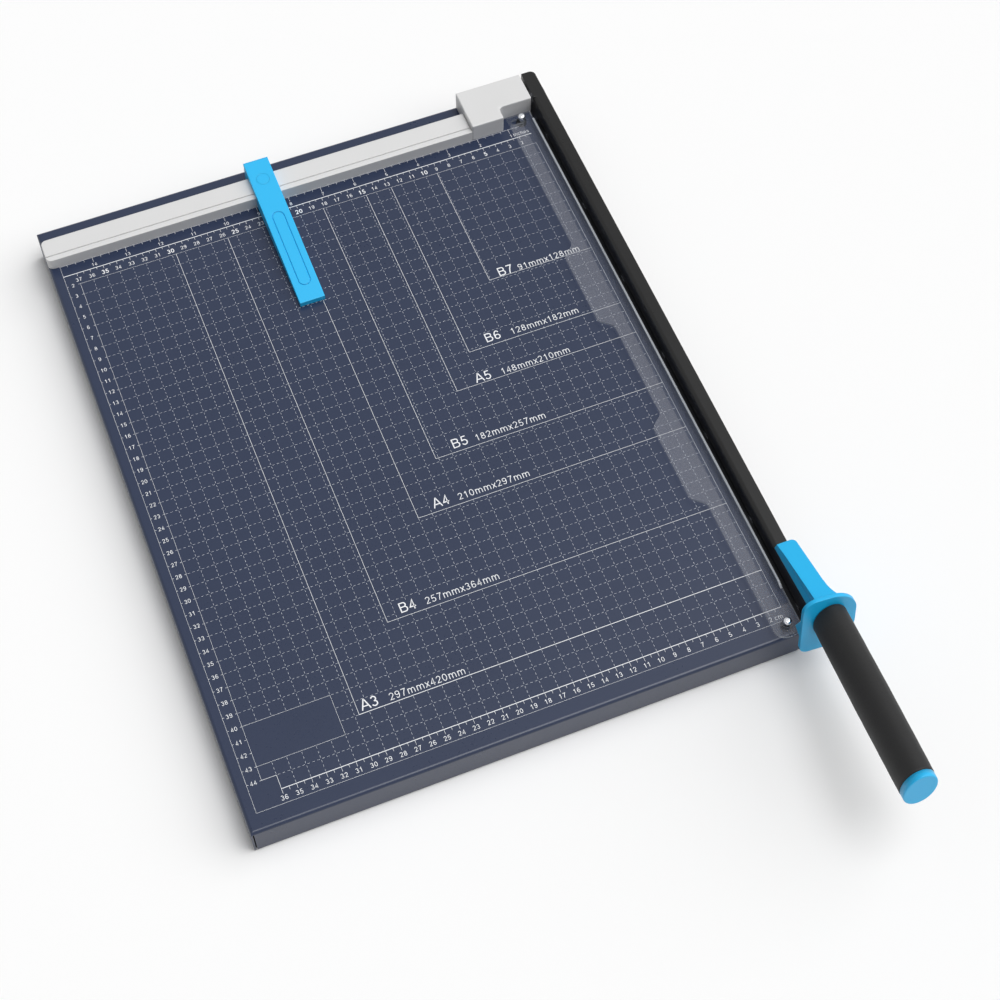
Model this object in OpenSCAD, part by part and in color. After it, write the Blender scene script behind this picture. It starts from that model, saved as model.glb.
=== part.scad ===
// Guillotine paper cutter: a folded steel board with a rear fence, a pivoted blade arm,
// a clear hold-down strip beside the cutting edge and a wedge-shaped paper stop.
// Working axes: X runs right from the cutting edge, Y runs back from the fence's front face
// and Z runs up from the board's top. place() then moves everything to the part's own origin.

/* [Base board] */
// Width of the board, from its left edge to the cutting edge
board_w = 388; // [340:1:440]
// Depth of the board, front to back
board_d = 509; // [460:1:560]
// Height of the folded sides
tray_h = 26; // [24:0.5:32]
// Thickness of the sheet steel
sheet_t = 1.2; // [1:0.1:1.8]
// Outer radius of the folds along the top edges
bend_r = 2.4; // [2:0.1:4]
// Width of the open seam at each folded corner
seam_w = 0.8; // [0.4:0.1:1.5]
// Width of a stiffener channel under the board
channel_w = 40; // [30:1:56]
// Distance from the board's front or back edge to the middle of a channel
channel_inset = 78; // [65:1:120]
// Height of the channels' floor above the lower edge of the sides
channel_lift = 3; // [2:0.5:6]
// Width of the lip turned in along the front and the back
lip_w = 22; // [21:0.5:30]
// Side of a square rubber foot
foot_w = 20; // [16:0.5:20]
// Gap from the lower edge of the sides to the table
foot_clear = 2; // [1.5:0.25:6]

/* [Rear fence] */
// Depth of the fence
fence_d = 20; // [16:0.5:26]
// Height of the fence
fence_h = 9.5; // [8:0.5:11]
// Strip of board left bare behind the fence
back_strip = 16.5; // [14:0.5:24]
// Distance of the fine groove from the front face
groove_at = 4.3; // [3:0.1:7]
// Width and depth of the fine groove
groove_w = 0.8; // [0.4:0.1:1.4]
// Corner radius of the fence's free end
fence_end_r = 4; // [1:0.5:6]
// Number of fence screws
fence_screw_n = 4; // [3:1:6]

/* [Pivot housing] */
// Width of the housing
housing_w = 52.6; // [48:0.2:70]
// Height of the housing
housing_h = 15; // [14:0.5:20]
// Wall of the housing
housing_wall = 2; // [1.5:0.1:2.5]
// Radius of the housing's edges
housing_r = 0.9; // [0.5:0.1:1.6]
// Width of the notch that clears the hold-down strip
notch_w = 27; // [24:1:28]
// Depth of the notch
notch_d = 10.7; // [9.5:0.1:11]
// Radius of the notch's inner corner
notch_r = 4; // [1:0.25:4.5]
// Gap between the housing and the cutting edge
housing_gap = 1.5; // [1:0.1:2.5]

/* [Pivot] */
// Distance of the pivot behind the fence's front face
pivot_y = 20.5; // [20:0.25:21]
// Height of the pivot above the board
pivot_z = 3.4; // [2.5:0.1:4]
// Diameter of the pivot bolt
bolt_d = 8; // [6:0.5:8]
// Wall of the bush in the arm
bush_wall = 2; // [1:0.25:2.5]
// Diameter of the thrust washer
washer_d = 15; // [14:0.5:17]
// Thickness of the pivot bracket
bracket_t = 4; // [3:0.5:5]

/* [Blade arm] */
// Width of the arm
arm_w = 10.2; // [9:0.1:13]
// Height of the arm's top above the board
arm_top = 15; // [14:0.5:18]
// Depth of the arm's underside below the board
arm_low = 9; // [8:0.5:12]
// Radius of the rounded edge over the blade
arm_edge_r = 3; // [1:0.25:4]
// Radius of the rounded corner at the arm's back end
arm_end_r = 4; // [1:0.25:5]

/* [Blades] */
// Running gap between the two blades
blade_gap = 0.1; // [0.05:0.01:0.2]
// Thickness of the upper blade
blade_t = 2.5; // [2:0.1:3.5]
// Reach of the upper blade below the board at mid length
blade_reach = 15; // [12:0.5:18]
// Bow of the upper blade's curved edge
blade_bow = 7; // [4:0.5:9]
// Height of the upper blade's ground bevel
blade_bevel = 4; // [2:0.5:6]
// Number of upper blade screws
blade_screw_n = 7; // [4:1:9]
// Thickness of the lower blade
lower_t = 3; // [2.5:0.1:4]
// Height of the lower blade
lower_h = 16; // [14:0.5:19]
// Number of lower blade screws
lower_screw_n = 6; // [4:1:9]

/* [Hand guard] */
// Length of the collar's slope along the arm
collar_l = 64; // [56:1:80]
// Height of the collar's back end over the arm
collar_step = 4; // [3:0.25:6]
// Rise of the collar's top in degrees
collar_rise = 14.6; // [12:0.2:17]
// Thickness of the collar beside the arm
collar_side = 4.1; // [4:0.1:6]
// Width of the finger flange
flange_w = 37.5; // [34:0.5:46]
// Reach of the flange above the handle's axis
flange_up = 21.6; // [19:0.2:28]
// Reach of the flange below the handle's axis
flange_down = 31; // [27:0.5:33]
// Thickness of the flange
flange_t = 3; // [2.5:0.25:4.5]
// Length of the flare from the collar into the flange
flare_l = 24; // [14:1:32]

/* [Handle] */
// Distance of the flange in front of the board
handle_out = 9.4; // [9:0.2:16]
// Height of the handle's axis above the board at the flange
handle_rise = 30.4; // [29:0.2:34]
// Upward tilt of the handle in degrees
handle_tilt = 9.5; // [6:0.1:12]
// Inward sweep of the handle in degrees
handle_sweep = 3.7; // [0:0.1:5]
// Width of the oval grip
grip_w = 23.6; // [21:0.2:25]
// Height of the oval grip
grip_h = 31; // [28:0.2:33]
// Lean of the oval grip in degrees
grip_roll = 8; // [0:1:12]
// Wall of the grip's foam
grip_wall = 2.6; // [1.6:0.1:3.4]
// Length of the grip
grip_l = 132; // [110:1:150]
// Length of the end cap
cap_l = 5; // [4:0.5:9]
// Distance of the end cap's outline inside the grip's
cap_inset = 0.6; // [0:0.1:1.5]
// Width and depth of the step round the end cap's face
cap_step = 0.4; // [0.2:0.1:1]

/* [Hold-down strip] */
// Gap under the strip for the paper
paper_gap = 2; // [1:0.25:3]
// Thickness of the strip
strip_t = 2; // [1.5:0.25:3]
// Distance of the strip's right edge from the cutting edge
strip_in = 4.2; // [3.4:0.1:5]
// Width of the strip between the finger lobes
strip_w = 19.2; // [17:0.1:21]
// Outward step of a finger lobe
lobe_out = 9.4; // [5:0.2:14]
// Length of a finger lobe
lobe_l = 82; // [60:1:110]
// Length of the curve at each end of a lobe
lobe_ramp = 12; // [8:0.5:18]
// Distance of the first lobe from the fence
lobe_at = 121; // [90:1:125]
// Spacing of the two lobes
lobe_pitch = 160; // [130:1:170]
// Corner radius at the strip's front end
strip_end_r = 8; // [3:0.5:9]
// Height of the rib along the strip's right edge
rib_h = 2; // [1:0.25:3]
// Width of the rib
rib_w = 1.4; // [1:0.1:2]
// Free lift of the strip on its posts
strip_lift = 3; // [2:0.25:4]
// Diameter of a post
post_d = 4; // [3:0.25:4.5]
// Diameter of a post's domed head
post_head_d = 5.8; // [5.6:0.1:7.2]

/* [Paper stop] */
// Width of the stop
stop_w = 19; // [16:0.5:24]
// Reach of the stop in front of the fence
stop_reach = 99.8; // [85:0.2:120]
// Overhang of the stop behind the fence
stop_back = 8.6; // [7:0.2:10]
// Height of the stop's top at its back end
stop_high = 17.3; // [16.5:0.1:20]
// Height of the stop's top at its front end
stop_low = 4.6; // [4:0.1:6]
// Wall of the stop
stop_wall = 2; // [1.6:0.1:2.4]
// Distance of the stop's middle from the cutting edge
stop_at = 217.8; // [150:0.2:280]
// Width of the finger groove's outline
track_w = 9.4; // [7:0.2:11]
// Length of the finger groove's outline
track_l = 67; // [50:1:74]
// Diameter of the round cap
stop_cap_d = 9.6; // [8:0.2:11]

/* [Hidden] */
$fn = 48;

// Clearances and margins
slack = 0.3;          // between pieces that move past each other
running = 0.05;       // radial, round the pivot bolt
through = 1;          // how far a cutter runs past a face
edge_n = 16;          // chords of the upper blade's curved edge

// Fasteners
screw_d = 4;
screw_head_d = 7.4;
screw_head_h = 2.4;
sink_d = 8;
sink_h = 2.2;
nut_h = 6.4;
nut_flat = 13;
bolt5_d = 5;
bolt5_head_d = 9;
bolt5_head_h = 2.5;
bolt5_nut_h = 4;
bolt5_nut_flat = 8;
recess_l = 4;
recess_w = 1;
recess_h = 1.2;
socket_flat = 6;
socket_h = 1.4;
spring_washer_t = 2;
spring_washer_gap = 1.2;

// The board and its folded sides
x_left = -board_w;
y_back = back_strip + fence_d;
y_front = y_back - board_d;
x_side = -lower_t;
x_side_in = x_side - sheet_t;
z_channel = channel_lift - tray_h;
z_table = -(tray_h + foot_clear);
channel_ys = [y_front + channel_inset, y_back - channel_inset];
foot_edge = 1;
foot_xs = [x_left + foot_edge + foot_w / 2, x_side - foot_edge - foot_w / 2];
foot_ys = [y_front + foot_edge + foot_w / 2, y_back - foot_edge - foot_w / 2];
foot_r = 3;
foot_stem_d = 5;
foot_barb_d = 7.4;
foot_barb_h = 3.6;
foot_stem_at = 5;

// The housing and the fence
housing_x1 = -housing_gap;
housing_x0 = housing_x1 - housing_w;
housing_front = slack;
notch_x = housing_x1 - notch_w;
notch_y = housing_front + notch_d;
fence_x1 = housing_x0 - slack;
fence_len = fence_x1 - x_left;
fence_screw_pitch = fence_len / fence_screw_n;
fence_screw_bite = 6;
boss_d = 8;
boss_x = housing_x0 + housing_wall + boss_d / 2 + 1;
boss_ys = [housing_front + housing_wall + boss_d / 2 + 1, y_back - housing_wall - boss_d / 2 - 1];
boss_screw_bite = 8;

// The pivot
nut_x = x_side_in - bracket_t - spring_washer_t;
bolt_end = nut_x - nut_h - 2;
bolt_head_d = 13;
bolt_head_h = 2.4;
bracket_top = housing_h - housing_wall - 1;
bracket_low = -(tray_h - 5);
bracket_bolt_z = -lower_h + 3;
bracket_ys = [notch_y + housing_wall + slack, y_back - housing_wall - slack];
bracket_bolt_ys = [bracket_ys[0] + 5.5, bracket_ys[1] - 5.5];
bracket_r = 5;
notch_margin = 0.6;

// The arm and the blades
arm_x0 = blade_gap;
arm_x1 = arm_x0 + arm_w;
arm_mid = arm_x0 + arm_w / 2;
arm_back = y_back - 0.5;
lower_back = housing_front + 1;
blade_top = 4;
blade_back = lower_back;
blade_front = y_front;
blade_len = blade_back - blade_front;
blade_screw_z = (blade_top - arm_low) / 2;
blade_screw_bite = blade_t + 5;
blade_end_margin = 18;
lower_screw_z = -lower_h / 2;
lower_screw_l = lower_t + sheet_t + 4;

// The handle's own frame starts at the flange's front face
handle_pos = [arm_mid, y_front - handle_out, handle_rise];
along_y_per_mm = cos(handle_tilt) * cos(handle_sweep);
collar_y0 = handle_pos[1] + flange_t + collar_l;
collar_x0 = arm_x0 + 1.6;
collar_x1 = arm_x1 + collar_side;
collar_z0 = 2;
collar_skin = 3.5;
collar_end_r = 3.5;
collar_wall = 3;
skirt_lean = 16;
neck_rise = 4.5;
neck_step = 4;
neck_run = 18;
arm_front = handle_pos[1] + flange_t + 5;
neck_back = collar_y0 - neck_step;
neck_low = collar_z0 + 2;
tang_t = 4;
tang_v = [-8.6, -1.8];
tang_l = [-26, grip_l - 25];
flange_r = [flange_w / 2 - 0.05, 10, 6, 22];
plug_d = 10;
plug_l = 11;
guard_screw_ys = [collar_y0 - 14, collar_y0 - 44];
guard_screw_z = 8;
guard_screw_bite = 6;
gusset = [[2.5, 0], [-14.5, -8.6], [-19, 0]];
gusset_w = 4;
flare_x = collar_x1 - arm_mid - 1.5;
flare_edge = 0.8;
flare_n = 10;

// The hold-down strip and its posts
strip_z0 = paper_gap;
strip_z1 = paper_gap + strip_t;
strip_x1 = -strip_in;
strip_x0 = strip_x1 - strip_w;
strip_back = notch_y - 2.6;
strip_front = y_front - 1;
post_x = -13.2;
post_ys = [2, y_front + 8];
post_slot = 6.2;
post_shoulder_d = 8;
post_head_h = 2.4;
post_rivet_h = 1.6;
post_head_z = strip_z1 + strip_lift + slack;
rib_back = -1;
rib_front = y_front + 39;
rib_slope = 7;

// The paper stop
stop_x0 = -stop_at - stop_w / 2;
stop_x1 = stop_x0 + stop_w;
stop_y0 = -stop_reach;
stop_y1 = fence_d + stop_back;
stop_slope = atan((stop_high - stop_low) / (stop_y1 - stop_y0));
stop_z0 = slack + 0.1;
stop_cap_y = fence_d / 2 + 1;
stop_cap_h = 1.6;
stop_screw_d = 3;
stop_screw_head_d = 5.5;
stop_screw_head_h = 1.2;
track_groove = 0.6;
track_y = -19.5 - track_l / 2;
shoe_l = 11;
shoe_w = 9;
shoe_h = 2;

// The grip's oval of four arcs: two at its ends and two along its sides
oval_a = grip_w / 2;
oval_b = grip_h / 2;
oval_end_r = oval_a * oval_a / oval_b;
oval_end_at = oval_b - oval_end_r;
oval_side_r = (oval_a * oval_a + oval_end_at * oval_end_at - oval_end_r * oval_end_r) / (2 * (oval_a - oval_end_r));
oval_side_at = oval_side_r - oval_a;

// The part's origin: the middle of its footprint, on the table
x_far = arm_mid + flange_w / 2 * cos(handle_sweep) + flange_t * sin(handle_sweep) * cos(handle_tilt)
    + (flange_up - flange_r[0]) * sin(handle_sweep) * sin(handle_tilt);
face_up = cos(handle_sweep) * sin(handle_tilt) * cos(grip_roll) - sin(handle_sweep) * sin(grip_roll);
y_near = handle_pos[1] - (grip_l + cap_l) * along_y_per_mm - oval_end_at * face_up
    - (oval_end_r - cap_inset - cap_step) * sqrt(1 - along_y_per_mm * along_y_per_mm);
origin = [(x_left + x_far) / 2, (y_back + y_near) / 2, z_table];

function stop_top(y) = stop_low + (y - stop_y0) * tan(stop_slope);
function collar_top(y) = arm_top + collar_step + (collar_y0 - y) * tan(collar_rise);
function neck_top(y) = arm_top + (collar_y0 - y) * tan(neck_rise);

// Point i of the upper blade's curved edge, in Y and Z
function edge_point(i) = let (t = 2 * i / edge_n - 1)
    [blade_front + blade_len * i / edge_n, blade_bow * t * t - blade_reach];

function ease(t) = (1 - cos(180 * t)) / 2;
function spread(a, b, n) = [for (i = [0 : n - 1]) a + (b - a) * i / (n - 1)];
function arc(c, r, a0, a1, n = 8) = [for (i = [0 : n]) let (a = a0 + (a1 - a0) * i / n) c + r * [cos(a), sin(a)]];

// Points of a lobe's edge, from its back end to its front end
function lobe_edge(y, n = 10) = concat(
    [for (i = [0 : n]) [strip_x0 - lobe_out * ease(i / n), y - lobe_ramp * i / n]],
    [for (i = [0 : n]) [strip_x0 - lobe_out * ease(1 - i / n), y - lobe_l + lobe_ramp * (1 - i / n)]]);

module place() translate(-origin) children();

module box(x, y, z) translate([x[0], y[0], z[0]]) cube([x[1] - x[0], y[1] - y[0], z[1] - z[0]]);

// A profile drawn in Y and Z, drawn out along X
module along_x(x0, x1) translate([x0, 0, 0]) rotate([90, 0, 90]) linear_extrude(x1 - x0) children();

// A profile drawn in X and Z, drawn out along Y
module along_y(y0, y1) translate([0, y1, 0]) rotate([90, 0, 0]) linear_extrude(y1 - y0) children();

// What lies outside a rounded corner whose body is on the side given by s
module corner_cut(p, s, r) difference() {
    translate([min(p[0] - s[0] * through, p[0] + s[0] * r), min(p[1] - s[1] * through, p[1] + s[1] * r)])
        square(r + through);
    translate(p + s * r) circle(r);
}

// A rectangle with corner radii given from the upper right, counter-clockwise
module round_rect(x, y, r) difference() {
    translate([x[0], y[0]]) square([x[1] - x[0], y[1] - y[0]]);
    if (r[0] > 0) corner_cut([x[1], y[1]], [-1, -1], r[0]);
    if (r[1] > 0) corner_cut([x[0], y[1]], [1, -1], r[1]);
    if (r[2] > 0) corner_cut([x[0], y[0]], [1, 1], r[2]);
    if (r[3] > 0) corner_cut([x[1], y[0]], [-1, 1], r[3]);
}

// A cylinder along +X, from a point
module rod_x(p, d, l) translate(p) rotate([0, 90, 0]) cylinder(d = d, h = l);

// A cross recess that goes up into a face at the origin
module recess() for (a = [0, 90]) rotate(a)
    translate([-recess_l / 2, -recess_w / 2, -through]) cube([recess_l, recess_w, recess_h + through]);

// The same recess in a screw head that faces +X
module side_recess() rotate([0, -90, 0]) recess();

// A pan-head screw pointing up, with its head's seat at the origin
module pan_screw(d, l, head_d, head_h) difference() {
    union() {
        cylinder(d = d, h = l);
        translate([0, 0, -head_h]) cylinder(d = head_d, h = head_h);
    }
    translate([0, 0, -head_h]) recess();
}

// A countersunk screw pointing along -X, with its head's face at the origin
module sunk_screw(d, l, head_d, head_h) rotate([0, -90, 0]) {
    cylinder(d1 = head_d, d2 = d, h = head_h);
    cylinder(d = d, h = l);
}

// A hexagon nut along +X with a hole for its bolt
module hex_nut(p, flat, h, hole_d) difference() {
    translate(p) rotate([0, 90, 0]) cylinder(d = flat / cos(30), h = h, $fn = 6);
    rod_x(p - [through, 0, 0], hole_d, h + 2 * through);
}

// The handle's frame: Z runs out along the handle, X to the right and Y up
module on_handle() translate(handle_pos) rotate([90 - handle_tilt, 0, -handle_sweep]) children();

// The paper stop's sloping top at a distance y
module on_stop(y) translate([-stop_at, y, stop_top(y)]) rotate([stop_slope, 0, 0]) children();

// Base board

// A block the size of the tray, with its left, front and back upper edges rounded
module tray_block(inset, low, r) intersection() {
    along_y(y_front + inset, y_back - inset)
        round_rect([x_left + inset, x_side - inset], [low, -inset], [0, r, 0, 0]);
    along_x(x_left + inset, x_side - inset)
        round_rect([y_front + inset, y_back - inset], [low, -inset], [r, r, 0, 0]);
}

module fence_screw_places() for (i = [0 : fence_screw_n - 1])
    translate([x_left + (i + 0.5) * fence_screw_pitch, fence_d / 2, -sheet_t]) children();

module boss_places() for (y = boss_ys) translate([boss_x, y, -sheet_t]) children();

// The stems of the feet, at the lips' undersides
module stem_places() for (x = foot_xs, y = foot_ys, dx = [-foot_stem_at, foot_stem_at])
    translate([x + dx, y, -tray_h]) children();

module lower_screw_places()
    for (y = spread(y_front + blade_end_margin, lower_back - blade_end_margin, lower_screw_n))
        translate([0, y, lower_screw_z]) children();

module lips() for (y = [y_front, y_back - lip_w])
    box([x_left + sheet_t + seam_w, x_side_in - seam_w], [y, y + lip_w], [-tray_h, sheet_t - tray_h]);

module base_board() place() color([0.16, 0.18, 0.25]) difference() {
    union() {
        difference() {
            tray_block(0, -tray_h, bend_r);
            tray_block(sheet_t, -tray_h - through, bend_r - sheet_t);
        }
        lips();
    }
    for (x = [x_left + sheet_t, x_side_in - seam_w], y = [y_front - through, y_back - sheet_t])
        box([x, x + seam_w], [y, y + sheet_t + through], [-tray_h - through, -bend_r]);
    box([bolt_end - notch_margin, x_side_in], [bracket_ys[0] - notch_margin, bracket_ys[1] + notch_margin],
        [pivot_z - washer_d / 2 - notch_margin, through]);
    box([x_side_in - notch_margin, through],
        [pivot_y - washer_d / 2 - notch_margin, pivot_y + washer_d / 2 + notch_margin],
        [pivot_z - washer_d / 2 - notch_margin, through]);
    fence_screw_places() translate([0, 0, -through]) cylinder(d = screw_d, h = sheet_t + 2 * through);
    boss_places() translate([0, 0, -through]) cylinder(d = screw_d, h = sheet_t + 2 * through);
    for (y = post_ys) translate([post_x, y, -sheet_t - through]) cylinder(d = post_d, h = sheet_t + 2 * through);
    for (y = bracket_bolt_ys) rod_x([x_side_in - through, y, bracket_bolt_z], bolt5_d, sheet_t + 2 * through);
    lower_screw_places() rod_x([x_side_in - through, 0, 0], screw_d, sheet_t + 2 * through);
    stem_places() translate([0, 0, -through]) cylinder(d = foot_stem_d, h = sheet_t + 2 * through);
}

module stiffener_channels() place() color([0.2, 0.22, 0.28])
    for (y = channel_ys) along_x(x_left + sheet_t + bend_r, x_side_in - slack) difference() {
        translate([y - channel_w / 2, z_channel]) square([channel_w, -sheet_t - z_channel]);
        translate([y - channel_w / 2 + sheet_t, z_channel + sheet_t]) square([channel_w - 2 * sheet_t, tray_h]);
    }

// Square pads with a pair of barbed stems pushed up through the lip
module rubber_feet() place() color([0.08, 0.08, 0.08]) {
    for (x = foot_xs, y = foot_ys) translate([0, 0, z_table]) linear_extrude(foot_clear)
        round_rect([x - foot_w / 2, x + foot_w / 2], [y - foot_w / 2, y + foot_w / 2],
            [foot_r, foot_r, foot_r, foot_r]);
    stem_places() {
        cylinder(d = foot_stem_d, h = sheet_t);
        translate([0, 0, sheet_t]) cylinder(d1 = foot_barb_d, d2 = foot_stem_d, h = foot_barb_h);
    }
}

// Rear fence

module rear_fence() place() color([0.85, 0.85, 0.85]) difference() {
    linear_extrude(fence_h) round_rect([x_left + slack, fence_x1], [0, fence_d], [0, fence_end_r, fence_end_r, 0]);
    box([x_left - through, fence_x1 + through], [groove_at, groove_at + groove_w],
        [fence_h - groove_w, fence_h + through]);
    fence_screw_places() cylinder(d = screw_d, h = sheet_t + fence_screw_bite);
}

module fence_screws() place() color("silver") fence_screw_places()
    pan_screw(screw_d, sheet_t + fence_screw_bite, screw_head_d, screw_head_h);

// Pivot housing

// A block on the board with its upper and upright edges rounded
module soft_block(x, y, h, r) intersection() {
    along_y(y[0], y[1]) round_rect(x, [0, h], [r, r, 0, 0]);
    along_x(x[0], x[1]) round_rect(y, [0, h], [r, r, 0, 0]);
    linear_extrude(h) round_rect(x, y, [r, r, r, r]);
}

// The housing's L-shaped outside, with a fillet in the inner corner
module housing_block() {
    soft_block([housing_x0, notch_x], [housing_front, y_back], housing_h, housing_r);
    soft_block([housing_x0, housing_x1], [notch_y, y_back], housing_h, housing_r);
    linear_extrude(housing_h - housing_r / 3) difference() {
        translate([notch_x - through, notch_y - notch_r]) square(notch_r + through);
        translate([notch_x + notch_r, notch_y - notch_r]) circle(notch_r);
    }
}

// The housing's hollow, one wall inside its outside
module housing_hollow() translate([0, 0, -through]) linear_extrude(housing_h - housing_wall + through) {
    translate([housing_x0 + housing_wall, housing_front + housing_wall])
        square([notch_x - housing_x0, y_back - housing_front] - 2 * housing_wall * [1, 1]);
    translate([housing_x0 + housing_wall, notch_y + housing_wall])
        square([housing_w, y_back - notch_y] - 2 * housing_wall * [1, 1]);
}

module pivot_housing() place() color([0.85, 0.85, 0.85]) {
    difference() {
        housing_block();
        housing_hollow();
        along_x(housing_x1 - housing_wall - through, housing_x1 + through) {
            translate([pivot_y, pivot_z]) circle(d = washer_d + 2 * slack);
            translate([pivot_y - washer_d / 2 - slack, -through])
                square([washer_d + 2 * slack, pivot_z + through]);
        }
    }
    translate([0, 0, sheet_t]) boss_places() difference() {
        cylinder(d = boss_d, h = housing_h - housing_wall);
        translate([0, 0, -through]) cylinder(d = screw_d, h = boss_screw_bite + through);
    }
}

module housing_screws() place() color("silver") boss_places()
    pan_screw(screw_d, sheet_t + boss_screw_bite, screw_head_d, screw_head_h);

// Pivot

module pivot_bracket() place() color([0.6, 0.6, 0.62]) difference() {
    along_x(x_side_in - bracket_t, x_side_in)
        round_rect(bracket_ys, [bracket_low, bracket_top], [bracket_r, bracket_r, 0, 0]);
    rod_x([x_side_in - bracket_t - through, pivot_y, pivot_z], bolt_d, bracket_t + 2 * through);
    for (y = bracket_bolt_ys)
        rod_x([x_side_in - bracket_t - through, y, bracket_bolt_z], bolt5_d, bracket_t + 2 * through);
}

module bracket_bolts() place() color("silver") for (y = bracket_bolt_ys) {
    rod_x([x_side_in - bracket_t - bolt5_nut_h - 1, y, bracket_bolt_z], bolt5_d, bracket_t + sheet_t + bolt5_nut_h + 1);
    rod_x([x_side, y, bracket_bolt_z], bolt5_head_d, bolt5_head_h);
}

module bracket_nuts() place() color("silver") for (y = bracket_bolt_ys)
    hex_nut([x_side_in - bracket_t - bolt5_nut_h, y, bracket_bolt_z], bolt5_nut_flat, bolt5_nut_h, bolt5_d);

// A domed bolt with a hexagon socket in its head
module pivot_bolt() place() color("silver") difference() {
    union() {
        rod_x([bolt_end, pivot_y, pivot_z], bolt_d, arm_x1 + slack - bolt_end);
        translate([arm_x1 + slack, pivot_y, pivot_z]) rotate([0, 90, 0]) rotate_extrude()
            round_rect([0, bolt_head_d / 2], [0, bolt_head_h], [bolt_head_h * 0.8, 0, 0, 0]);
    }
    translate([arm_x1 + slack + bolt_head_h - socket_h, pivot_y, pivot_z]) rotate([0, 90, 0])
        cylinder(d = socket_flat / cos(30), h = socket_h + through, $fn = 6);
}

module thrust_washer() place() color([0.72, 0.72, 0.74]) difference() {
    rod_x([x_side_in, pivot_y, pivot_z], washer_d, -x_side_in);
    rod_x([x_side_in - through, pivot_y, pivot_z], bolt_d, -x_side_in + 2 * through);
}

module spring_washer() place() color("silver") difference() {
    rod_x([nut_x, pivot_y, pivot_z], nut_flat, spring_washer_t);
    rod_x([nut_x - through, pivot_y, pivot_z], bolt_d, spring_washer_t + 2 * through);
    box([nut_x - through, nut_x + spring_washer_t + through],
        [pivot_y - spring_washer_gap / 2, pivot_y + spring_washer_gap / 2], [pivot_z, pivot_z + nut_flat]);
}

module pivot_nut() place() color("silver") hex_nut([nut_x - nut_h, pivot_y, pivot_z], nut_flat, nut_h, bolt_d);

module pivot_bush() place() color([0.7, 0.55, 0.3]) difference() {
    rod_x([arm_x0, pivot_y, pivot_z], bolt_d + 2 * bush_wall, arm_w);
    rod_x([arm_x0 - through, pivot_y, pivot_z], bolt_d + 2 * running, arm_w + 2 * through);
}

// Blades

module lower_blade() place() color([0.35, 0.36, 0.38]) difference() {
    box([-lower_t, 0], [y_front, lower_back], [-lower_h, 0]);
    lower_screw_places() sunk_screw(screw_d, lower_screw_l, sink_d, sink_h);
}

module lower_blade_screws() place() color("silver") lower_screw_places() difference() {
    sunk_screw(screw_d, lower_screw_l, sink_d, sink_h);
    side_recess();
}

module blade_screw_places()
    for (y = spread(blade_front + blade_end_margin, blade_back - blade_end_margin, blade_screw_n))
        translate([arm_x0, y, blade_screw_z]) mirror([1, 0, 0]) children();

// Removes what lies below one chord of the curved edge, on a slope that leaves the left face sharp
module edge_cut(a, b) translate([arm_x0, a[0], a[1]])
    rotate([atan((b[1] - a[1]) / (b[0] - a[0])), 0, 0]) rotate([0, -atan(blade_bevel / blade_t), 0])
        box([-2 * blade_reach, 2 * blade_reach], [-through, blade_len / edge_n + 2 * through], [-2 * blade_reach, 0]);

module upper_blade() place() color([0.3, 0.31, 0.33]) difference() {
    box([arm_x0, arm_x0 + blade_t], [blade_front, blade_back], [-blade_reach - through, blade_top]);
    for (i = [1 : edge_n]) edge_cut(edge_point(i - 1), edge_point(i));
    blade_screw_places() sunk_screw(screw_d, blade_screw_bite, sink_d, sink_h);
}

module blade_screws() place() color("silver") blade_screw_places() difference() {
    sunk_screw(screw_d, blade_screw_bite, sink_d, sink_h);
    side_recess();
}

// Arm and hand guard

// The arm's bar, and the neck that rises from it inside the collar
module arm_block() {
    along_x(arm_x0, arm_x1) polygon([[arm_back, -arm_low], [arm_back, arm_top], [collar_y0, arm_top],
        [arm_front, neck_top(arm_front)], [arm_front, neck_low], [arm_front + neck_run, -arm_low]]);
    along_x(arm_x0 + collar_wall, arm_x1) polygon([[neck_back, neck_low], [neck_back, arm_top],
        [neck_back - neck_run, collar_top(neck_back - neck_run) - collar_skin],
        [arm_front, collar_top(arm_front) - collar_skin], [arm_front, neck_low]]);
}

module tang_bar() on_handle() translate([-tang_t / 2, tang_v[0], tang_l[0]])
    cube([tang_t, tang_v[1] - tang_v[0], tang_l[1] - tang_l[0]]);

module guard_screw_places() for (y = guard_screw_ys) translate([collar_x1, y, guard_screw_z]) children();

module guard_screw() rotate([0, -90, 0]) {
    cylinder(d = screw_head_d, h = screw_head_h);
    cylinder(d = screw_d, h = collar_side + guard_screw_bite);
}

module blade_arm() place() color([0.1, 0.1, 0.1]) difference() {
    arm_block();
    box([arm_x0 - through, arm_x0 + blade_t], [y_front - 2 * handle_out, blade_back], [-arm_low - through, blade_top]);
    rod_x([arm_x0 - through, pivot_y, pivot_z], bolt_d + 2 * bush_wall, arm_w + 2 * through);
    along_y(collar_y0, notch_y) corner_cut([arm_x0, arm_top], [1, -1], arm_edge_r);
    translate([0, 0, -arm_low - through]) linear_extrude(arm_low + arm_top + 2 * through)
        corner_cut([arm_x1, arm_back], [-1, -1], arm_end_r);
    blade_screw_places() sunk_screw(screw_d, blade_screw_bite, sink_d, sink_h);
    guard_screw_places() guard_screw();
    tang_bar();
}

module handle_tang() place() color([0.5, 0.5, 0.52]) tang_bar();

// The sloping collar as a solid, from x0 to x1
module collar_block(x0, x1) difference() {
    along_x(x0, x1) polygon([
        [collar_y0, collar_z0], [collar_y0, collar_top(collar_y0)],
        [handle_pos[1] - flange_down, collar_top(handle_pos[1] - flange_down)],
        [handle_pos[1] - flange_down, collar_z0]]);
    on_handle() translate([-2 * flange_w, -2 * flange_w, -flange_t]) cube(4 * flange_w);
}

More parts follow.
